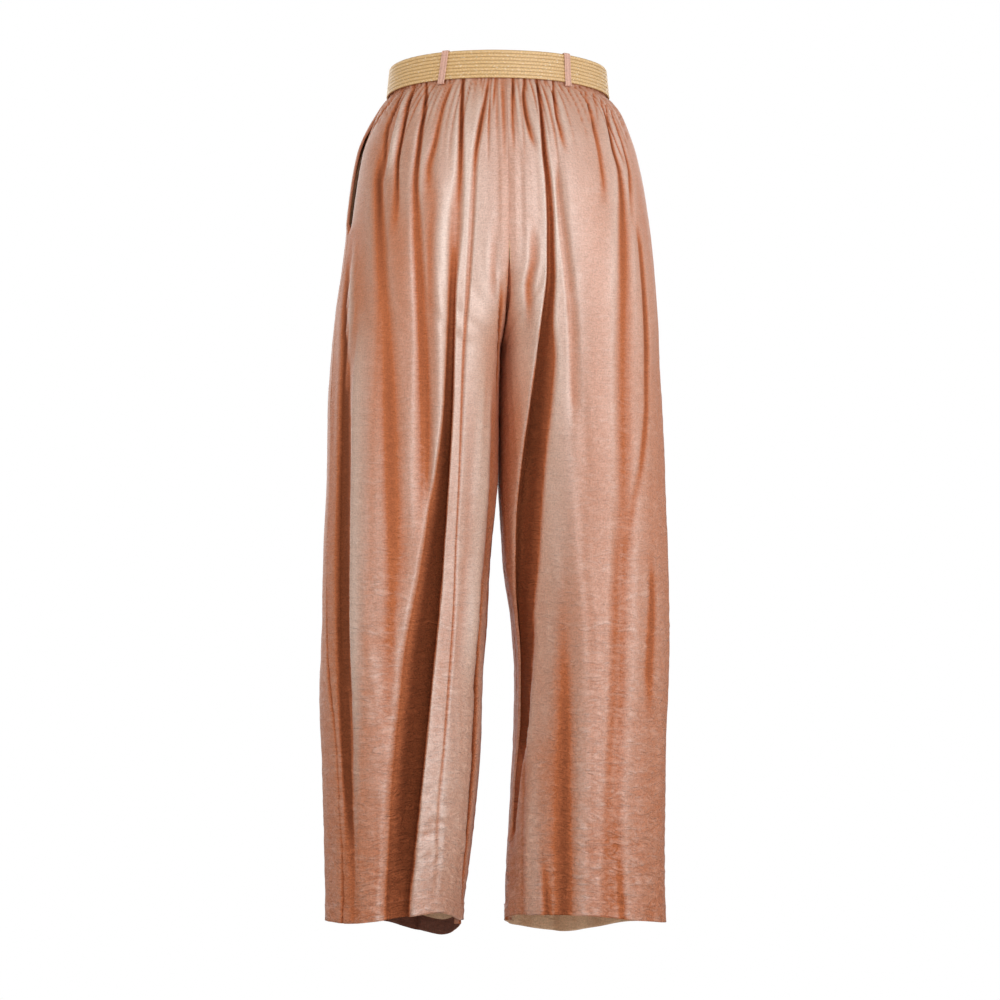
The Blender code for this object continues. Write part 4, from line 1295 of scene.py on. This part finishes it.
def belt_strap():
    random = np.random.default_rng(51)
    turn = 90 - math.degrees(math.acos(STRAP_END / WAIST_HALF_WIDTH))
    angles, lengths = ring_angles(-90 + turn, 270 - turn, BELT_STEP)
    outer_count = PLAITS * ROWS_IN_PLAIT + 1
    outer = np.linspace(-BELT_HALF_HEIGHT, BELT_HALF_HEIGHT, outer_count)
    inner_top = BELT_HALF_HEIGHT - BELT_EDGE
    inner = np.linspace(inner_top, -inner_top, BELT_INNER_ROWS)
    heights = np.concatenate([outer, inner])
    run, up = np.meshgrid(lengths, heights)
    plait = (up + BELT_HALF_HEIGHT) / (2 * BELT_HALF_HEIGHT) * PLAITS
    number = np.clip(np.floor(plait - 1e-6), 0, PLAITS - 1).astype(int)
    within = plait - number
    crown = np.sin(np.pi * np.clip(within, 0, 1)) ** PLAIT_FULLNESS
    slant = np.where(number % 2 == 0, 1.0, -1.0)
    jitter = random.uniform(0, STRAND_PITCH, PLAITS)[number]
    unevenness = STRANDS_WANDER * smooth_field(run, up, *WANDER_CELL, random)
    strand = (run + slant * (within - 0.5) * STRAND_SLANT + jitter + unevenness) / STRAND_PITCH
    bulge = np.abs(np.sin(np.pi * strand)) ** STRAND_FULLNESS
    is_outer = np.zeros_like(up)
    is_outer[:outer_count] = 1.0
    rise = (PLAIT_RISE * (crown - 1) + STRAND_RISE * (bulge - STRAND_BELOW) * crown) * is_outer
    outset = np.where(is_outer > 0, BELT_INNER + BELT_WALL + rise, BELT_INNER)
    level = np.zeros_like(up)
    sway = STRAP_SWAY * smooth_field(run, level, *SWAY_CELL, random)
    wobble = STRAP_WOBBLE * smooth_field(run, up, *WOBBLE_CELL, random)
    wobble = wobble * (1 - np.abs(up / BELT_HALF_HEIGHT) ** 4)
    outset = outset + STRAP_STANDS_OFF * smooth_field(run, level, *STANDS_OFF_CELL, random)
    points = ring_points(angles, outset, up + sway + wobble)
    shown = crown * (1 - STRANDS_SHOW + STRANDS_SHOW * bulge) * 2 - 1
    relief = np.where(is_outer > 0, shown, INNER_RELIEF)
    return tube_strip("belt_woven_strap", points, run, up, relief, STRAW)


def straw_finish():
    """Straw-look cord: strands of several straws, darker between plaits as painted shade, with pale flecks
    as painted glints.
    """
    made, tree, shader = new_finish("woven straw cord")
    place = cloth_place(tree)
    colour = ramped(tree, cloth_relief(tree), STRAW_COLOURS, "LINEAR")
    tone = remapped(tree, noise(tree, place, (420.0, 900.0, 1.0), 2.0), (0.25, 0.75), (0.72, 1.22))
    straw = mixed(tree, 1.0, colour, tone, "MULTIPLY")
    # Pale flecks: painted glints
    flecks = remapped(tree, noise(tree, place, (330.0, 760.0, 1.0), 1.0), (0.66, 0.72))
    tree.links.new(mixed(tree, flecks, straw, (*PAINTED_GLINT, 1.0)), shader.inputs["Base Color"])
    strands = noise(tree, place, (260.0, 1500.0, 1.0), 2.0)
    tree.links.new(bumped(tree, strands, 0.7, 0.0004), shader.inputs["Normal"])
    shader.inputs["Roughness"].default_value = 0.42
    shader.inputs["Specular IOR Level"].default_value = 0.6
    return made


# Colours by relief: darker between plaits and strands as painted shade
STRAW_COLOURS = [
    (0.05, (0.46, 0.25, 0.085)),
    (0.45, (0.69, 0.43, 0.175)),
    (1.00, (0.86, 0.60, 0.30)),
]
PAINTED_GLINT = (0.95, 0.88, 0.72)
STRAW = straw_finish()
belt = belt_strap()
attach(belt, "root")
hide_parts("belt")

# ---------------------------------------------------------------------- clasp
# The strap closes at the front with two pressed plates of gold-toned metal, each
# crimped over an end of it. A tongue on the hook's plate slides in behind the eye's.

CLASP_HALF_HEIGHT = 18.4
CLASP_HALF_WIDTH = 22.0
CLASP_SPLIT = 0.3
CLASP_FACE = 4.7
CLASP_PLATE = 1.35
CLASP_COLUMNS = 14
CLASP_ROWS = 16
CLASP_RIM = 2.6
CLASP_DISH = 0.45
CLASP_CORNER = 1.3
CLASP_EDGE = 0.28
# how close in metres a point counts as lying on the plate's outline
NEAR = 1e-6
TONGUE = (-7.6, 6.9)
TONGUE_HALF_HEIGHT = 9.0
TONGUE_FACE = 2.6
TONGUE_PLATE = 1.5
NECK = (-7.6, -0.8)
NECK_FACE = 3.9
NECK_PLATE = 2.8


def clasp_plate(name, start, end, half_height, face, thickness, rim):
    """A plate modelled flat, then bent round the waist so that its face lies at face mm."""
    bpy.ops.object.select_all(action="DESELECT")
    bpy.ops.mesh.primitive_grid_add(
        x_subdivisions=CLASP_COLUMNS, y_subdivisions=CLASP_ROWS, size=1.0
    )
    plate = bpy.context.object
    plate.name = name
    plate.data.name = name
    bpy.ops.object.mode_set(mode="EDIT")
    bpy.ops.mesh.select_all(action="SELECT")
    bpy.ops.transform.resize(value=((end - start) * MM, 2 * half_height * MM, 1.0))
    bpy.ops.transform.translate(value=((start + end) / 2 * MM, 0.0, 0.0))
    if rim:
        bpy.ops.mesh.inset(thickness=CLASP_RIM * MM, depth=-CLASP_DISH * MM)
    bpy.ops.object.mode_set(mode="OBJECT")
    corners = [
        vertex.index for vertex in plate.data.vertices
        if abs(abs(vertex.co.y) - half_height * MM) < NEAR
        and min(abs(vertex.co.x - start * MM), abs(vertex.co.x - end * MM)) < NEAR
    ]
    for part in (plate.data.vertices, plate.data.edges, plate.data.polygons):
        part.foreach_set("select", [False] * len(part))
    for index in corners:
        plate.data.vertices[index].select = True
    bpy.ops.object.mode_set(mode="EDIT")
    bpy.ops.mesh.select_mode(type="VERT")
    bpy.ops.mesh.bevel(offset=CLASP_CORNER * MM, segments=4, affect="VERTICES")
    bpy.ops.object.mode_set(mode="OBJECT")
    wall = plate.modifiers.new("plate", "SOLIDIFY")
    wall.thickness = thickness * MM
    wall.offset = -1.0
    bpy.ops.object.modifier_apply(modifier=wall.name)
    edges = plate.modifiers.new("eased edges", "BEVEL")
    edges.width = CLASP_EDGE * MM
    edges.segments = 3
    edges.limit_method = "ANGLE"
    edges.angle_limit = math.radians(40)
    bpy.ops.object.modifier_apply(modifier=edges.name)
    for vertex in plate.data.vertices:
        across, up, out = (value / MM for value in vertex.co)
        angle = math.asin(across / (WAIST_HALF_WIDTH + face + out)) - math.pi / 2
        vertex.co = ring_points(np.array(angle), np.array(face + out), np.array(up)) * MM
    bpy.ops.object.shade_smooth_by_angle(angle=math.radians(35))
    return plate


def brushed_metal():
    """Gold-toned plating, brushed along the belt, a little duller where it is handled."""
    made, tree, shader = new_finish("brushed gold-toned metal")
    place = tree.nodes.new("ShaderNodeTexCoord").outputs["Object"]
    brushing = noise(tree, place, (60.0, 60.0, 2600.0), 2.0)
    handling = noise(tree, place, (90.0, 90.0, 90.0), 3.0)
    colour = mixed(tree, brushing, (*METAL_DARK, 1.0), (*METAL_LIGHT, 1.0))
    tree.links.new(colour, shader.inputs["Base Color"])
    rough = remapped(tree, handling, (0.3, 0.7), (0.34, 0.56))
    tree.links.new(rough, shader.inputs["Roughness"])
    tree.links.new(bumped(tree, brushing, 0.5, 0.00006), shader.inputs["Normal"])
    shader.inputs["Metallic"].default_value = 0.85
    return made


METAL_DARK = (0.46, 0.32, 0.15)
METAL_LIGHT = (0.68, 0.51, 0.28)
CLASP_METAL = brushed_metal()
FULL_PLATE = (CLASP_HALF_HEIGHT, CLASP_FACE, CLASP_PLATE, True)
eye = clasp_plate("clasp_eye_plate", CLASP_SPLIT, CLASP_HALF_WIDTH, *FULL_PLATE)
hook = clasp_plate("clasp_hook_plate", -CLASP_HALF_WIDTH, -CLASP_SPLIT, *FULL_PLATE)
neck = clasp_plate("clasp_neck", *NECK, TONGUE_HALF_HEIGHT, NECK_FACE, NECK_PLATE, False)
tongue = clasp_plate("clasp_tongue", *TONGUE, TONGUE_HALF_HEIGHT, TONGUE_FACE, TONGUE_PLATE, False)
bpy.ops.object.select_all(action="DESELECT")
for half in (tongue, neck, hook):
    half.select_set(True)
bpy.context.view_layer.objects.active = hook
bpy.ops.object.join()
bpy.ops.object.select_all(action="DESELECT")
for half, node in ((eye, "clasp_eye"), (hook, "clasp_hook")):
    half.data.materials.append(CLASP_METAL)
    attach(half, "root")
    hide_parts(node)

# ----------------------------------------------------------------- belt loops
# Four belt loops, each a strip of a greyer rose crepe folded in four and stitched near
# both edges, turned in at the top over the waistband and tucked in below the belt.

LOOPS = {
    # name: (distance from the middle, is it on the back, how far its top leans outwards)
    "loop_back_left": (75.0, True, -4.4),
    "loop_back_right": (-75.0, True, 1.0),
    "loop_front_left": (70.0, False, 0.6),
    "loop_front_right": (-70.0, False, -0.8),
}
LOOP_WIDTH = 8.6
LOOP_WALL = 1.1
# Colours from the bottom of a stitching groove to the face: darker in the grooves as painted shade
LOOP_COLOURS = [
    (0.0, (0.42, 0.21, 0.155)),
    (0.4, (0.66, 0.37, 0.28)),
    (0.7, (0.77, 0.47, 0.37)),
    (1.0, (0.81, 0.51, 0.41)),
]
LOOP_CREPE = crepe("loop crepe", LOOP_COLOURS, 0.62, 0.5, 0.5, 0.0005)
# how far out from the waist's oval and how high each point of a loop's middle line is
LOOP_LINE = [
    (-2.2, 14.4), (-2.3, 16.2), (-1.0, 17.6), (1.6, 18.3), (3.9, 17.9), (4.5, 15.6), (4.4, 8.0),
    (4.4, 0.0), (4.4, -8.0), (4.5, -14.0), (4.7, -17.2), (5.0, -19.4), (4.6, -21.2), (3.4, -21.8),
]
LOOP_STEPS = 84
LOOP_SIDES = 28
# Its stitching: how far in from each edge, how wide, and how far it pulls the strip in
LOOP_STITCH = 1.5
LOOP_GROOVE = 0.35
LOOP_PINCH = 0.35
# It leans from this far below the waist's middle, all of the way over this height
LEAN_STARTS = 22
LEAN_HEIGHT = 40


def belt_loop(name, across, back, lean):
    line = np.array(LOOP_LINE)
    lengths = lengths_along(line)
    at = np.linspace(0, lengths[-1], LOOP_STEPS)
    out = smooth_curve(lengths, line[:, 0], at)
    up = smooth_curve(lengths, line[:, 1], at)
    angle = math.acos(abs(across) / (WAIST_HALF_WIDTH + 4))
    angle = angle if across > 0 else math.pi - angle
    if not back:
        angle = -angle
    turn = 2 * math.pi * np.arange(LOOP_SIDES) / LOOP_SIDES
    wide = np.sign(np.cos(turn)) * np.abs(np.cos(turn)) ** 0.35 * LOOP_WIDTH / 2
    thick = np.sign(np.sin(turn)) * np.abs(np.sin(turn)) ** 0.6 * LOOP_WALL / 2
    groove = np.exp(-((np.abs(wide) - LOOP_WIDTH / 2 + LOOP_STITCH) / LOOP_GROOVE) ** 2)
    thick = thick * (1 - LOOP_PINCH * groove)
    slope_out = np.gradient(out)
    slope_up = np.gradient(up)
    steep = np.hypot(slope_out, slope_up)
    points = np.zeros((LOOP_SIDES, LOOP_STEPS, 3))
    leaning = lean * np.clip((up + LEAN_STARTS) / LEAN_HEIGHT, 0, 1) * np.sign(across)
    for r in range(LOOP_SIDES):
        outset = out - thick[r] * slope_up / steep
        height = up + thick[r] * slope_out / steep
        sideways = wide[r] + leaning
        shifted = angle - sideways / WAIST_HALF_WIDTH * (1 if back else -1)
        points[r] = ring_points(shifted, outset, height)
    lengthwise, around = np.meshgrid(at, wide)
    # The colour darkens in the stitching grooves, as painted shade
    relief = np.repeat((0.5 - 1.5 * groove)[:, None], LOOP_STEPS, axis=1)
    return tube_strip(name + "_strip", points, lengthwise, around, relief, LOOP_CREPE)


for name, (across, back, lean) in LOOPS.items():
    piece = belt_loop(name, across, back, lean)
    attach(piece, "root")
    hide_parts(name)

# --------------------------------------------------------------------- studio
# A pale floor below the hanging hems. A soft key light and a wide sheen light stand
# behind the trousers, two more in front and one at the side, with a weak fill all
# round. The camera looks from behind, from just below the height of the knees.


def white_to_camera(tree, lit, white, surface):
    """The camera sees the white shader, and everything else is lit by the other one."""
    path = tree.nodes.new("ShaderNodeLightPath")
    either = tree.nodes.new("ShaderNodeMixShader")
    tree.links.new(path.outputs["Is Camera Ray"], either.inputs["Fac"])
    tree.links.new(lit, either.inputs[1])
    tree.links.new(white, either.inputs[2])
    tree.links.new(either.outputs["Shader"], surface)


FLOOR_BELOW_HEM = 0.075
floor_height = cad_box[0].z - FLOOR_BELOW_HEM
bpy.ops.mesh.primitive_plane_add(size=14.0, location=(0.0, 0.0, floor_height))
floor = bpy.context.object
floor.name = "studio_floor"
floor_finish, floor_tree, floor_shader = new_finish("studio floor")
floor_shader.inputs["Base Color"].default_value = (0.9, 0.9, 0.9, 1)
floor_shader.inputs["Roughness"].default_value = 0.8
floor_white = floor_tree.nodes.new("ShaderNodeEmission").outputs["Emission"]
floor_surface = floor_tree.nodes["Material Output"].inputs["Surface"]
white_to_camera(floor_tree, floor_shader.outputs["BSDF"], floor_white, floor_surface)
floor.data.materials.append(floor_finish)
floor.visible_glossy = False
floor.select_set(False)

world = bpy.data.worlds.new("studio")
world.use_nodes = True
bpy.context.scene.world = world
sky = world.node_tree
backdrop = sky.nodes["Background"]
backdrop.inputs["Color"].default_value = (1.0, 1.0, 1.0, 1.0)
backdrop.inputs["Strength"].default_value = 1.0
fill = sky.nodes.new("ShaderNodeBackground")
fill.inputs["Color"].default_value = (1.0, 0.97, 0.95, 1.0)
fill.inputs["Strength"].default_value = 0.82
all_round = sky.nodes["World Output"].inputs["Surface"]
white_to_camera(sky, fill.outputs["Background"], backdrop.outputs["Background"], all_round)
world.cycles_visibility.glossy = False

# The middle of the trousers, which every light is turned to
LIGHTS_AIM = (0.0, 0.0, -0.5)


def soft_light(name, azimuth, elevation, distance, size, power, diffuse=True):
    """A softbox aimed at the middle of the trousers. Azimuth 0 is straight behind."""
    a = math.radians(azimuth)
    e = math.radians(elevation)
    light = bpy.data.lights.new(name, "AREA")
    light.shape = "RECTANGLE"
    light.size = size[0]
    light.size_y = size[1]
    light.energy = power
    made = bpy.data.objects.new(name, light)
    bpy.context.scene.collection.objects.link(made)
    away = np.array([-math.sin(a) * math.cos(e), math.cos(a) * math.cos(e), math.sin(e)])
    made.location = np.array(LIGHTS_AIM) + away * distance
    made.rotation_euler = Vector(-away).to_track_quat("-Z", "Y").to_euler()
    made.visible_diffuse = diffuse


soft_light("key light", 14.0, 14.0, 3.4, (1.8, 2.4), 27.0)
soft_light("sheen light", 32.0, 6.0, 3.6, (2.8, 3.4), 66.0, diffuse=False)
soft_light("side light", 92.0, 18.0, 3.6, (2.0, 2.4), 22.0, diffuse=False)
soft_light("front light", 152.0, 24.0, 3.6, (1.8, 1.8), 26.0)
soft_light("front sheen light", 204.0, 16.0, 3.6, (2.6, 2.6), 52.0, diffuse=False)

VIEW_DISTANCE = 3.6
VIEW_TURN = math.radians(5.2)
VIEW_HEIGHT = -0.682
VIEW_AIM = (-0.0024, 0.0, -0.5022)
lens = bpy.data.cameras.new("camera")
lens.lens = 108.0
lens.sensor_width = 36.0
camera = bpy.data.objects.new("camera", lens)
bpy.context.scene.collection.objects.link(camera)
camera.location = (
    VIEW_DISTANCE * math.sin(VIEW_TURN), VIEW_DISTANCE * math.cos(VIEW_TURN), VIEW_HEIGHT,
)
camera.rotation_euler = (Vector(VIEW_AIM) - camera.location).to_track_quat("-Z", "Y").to_euler()
bpy.context.scene.camera = camera
bpy.context.scene.view_settings.view_transform = "Standard"
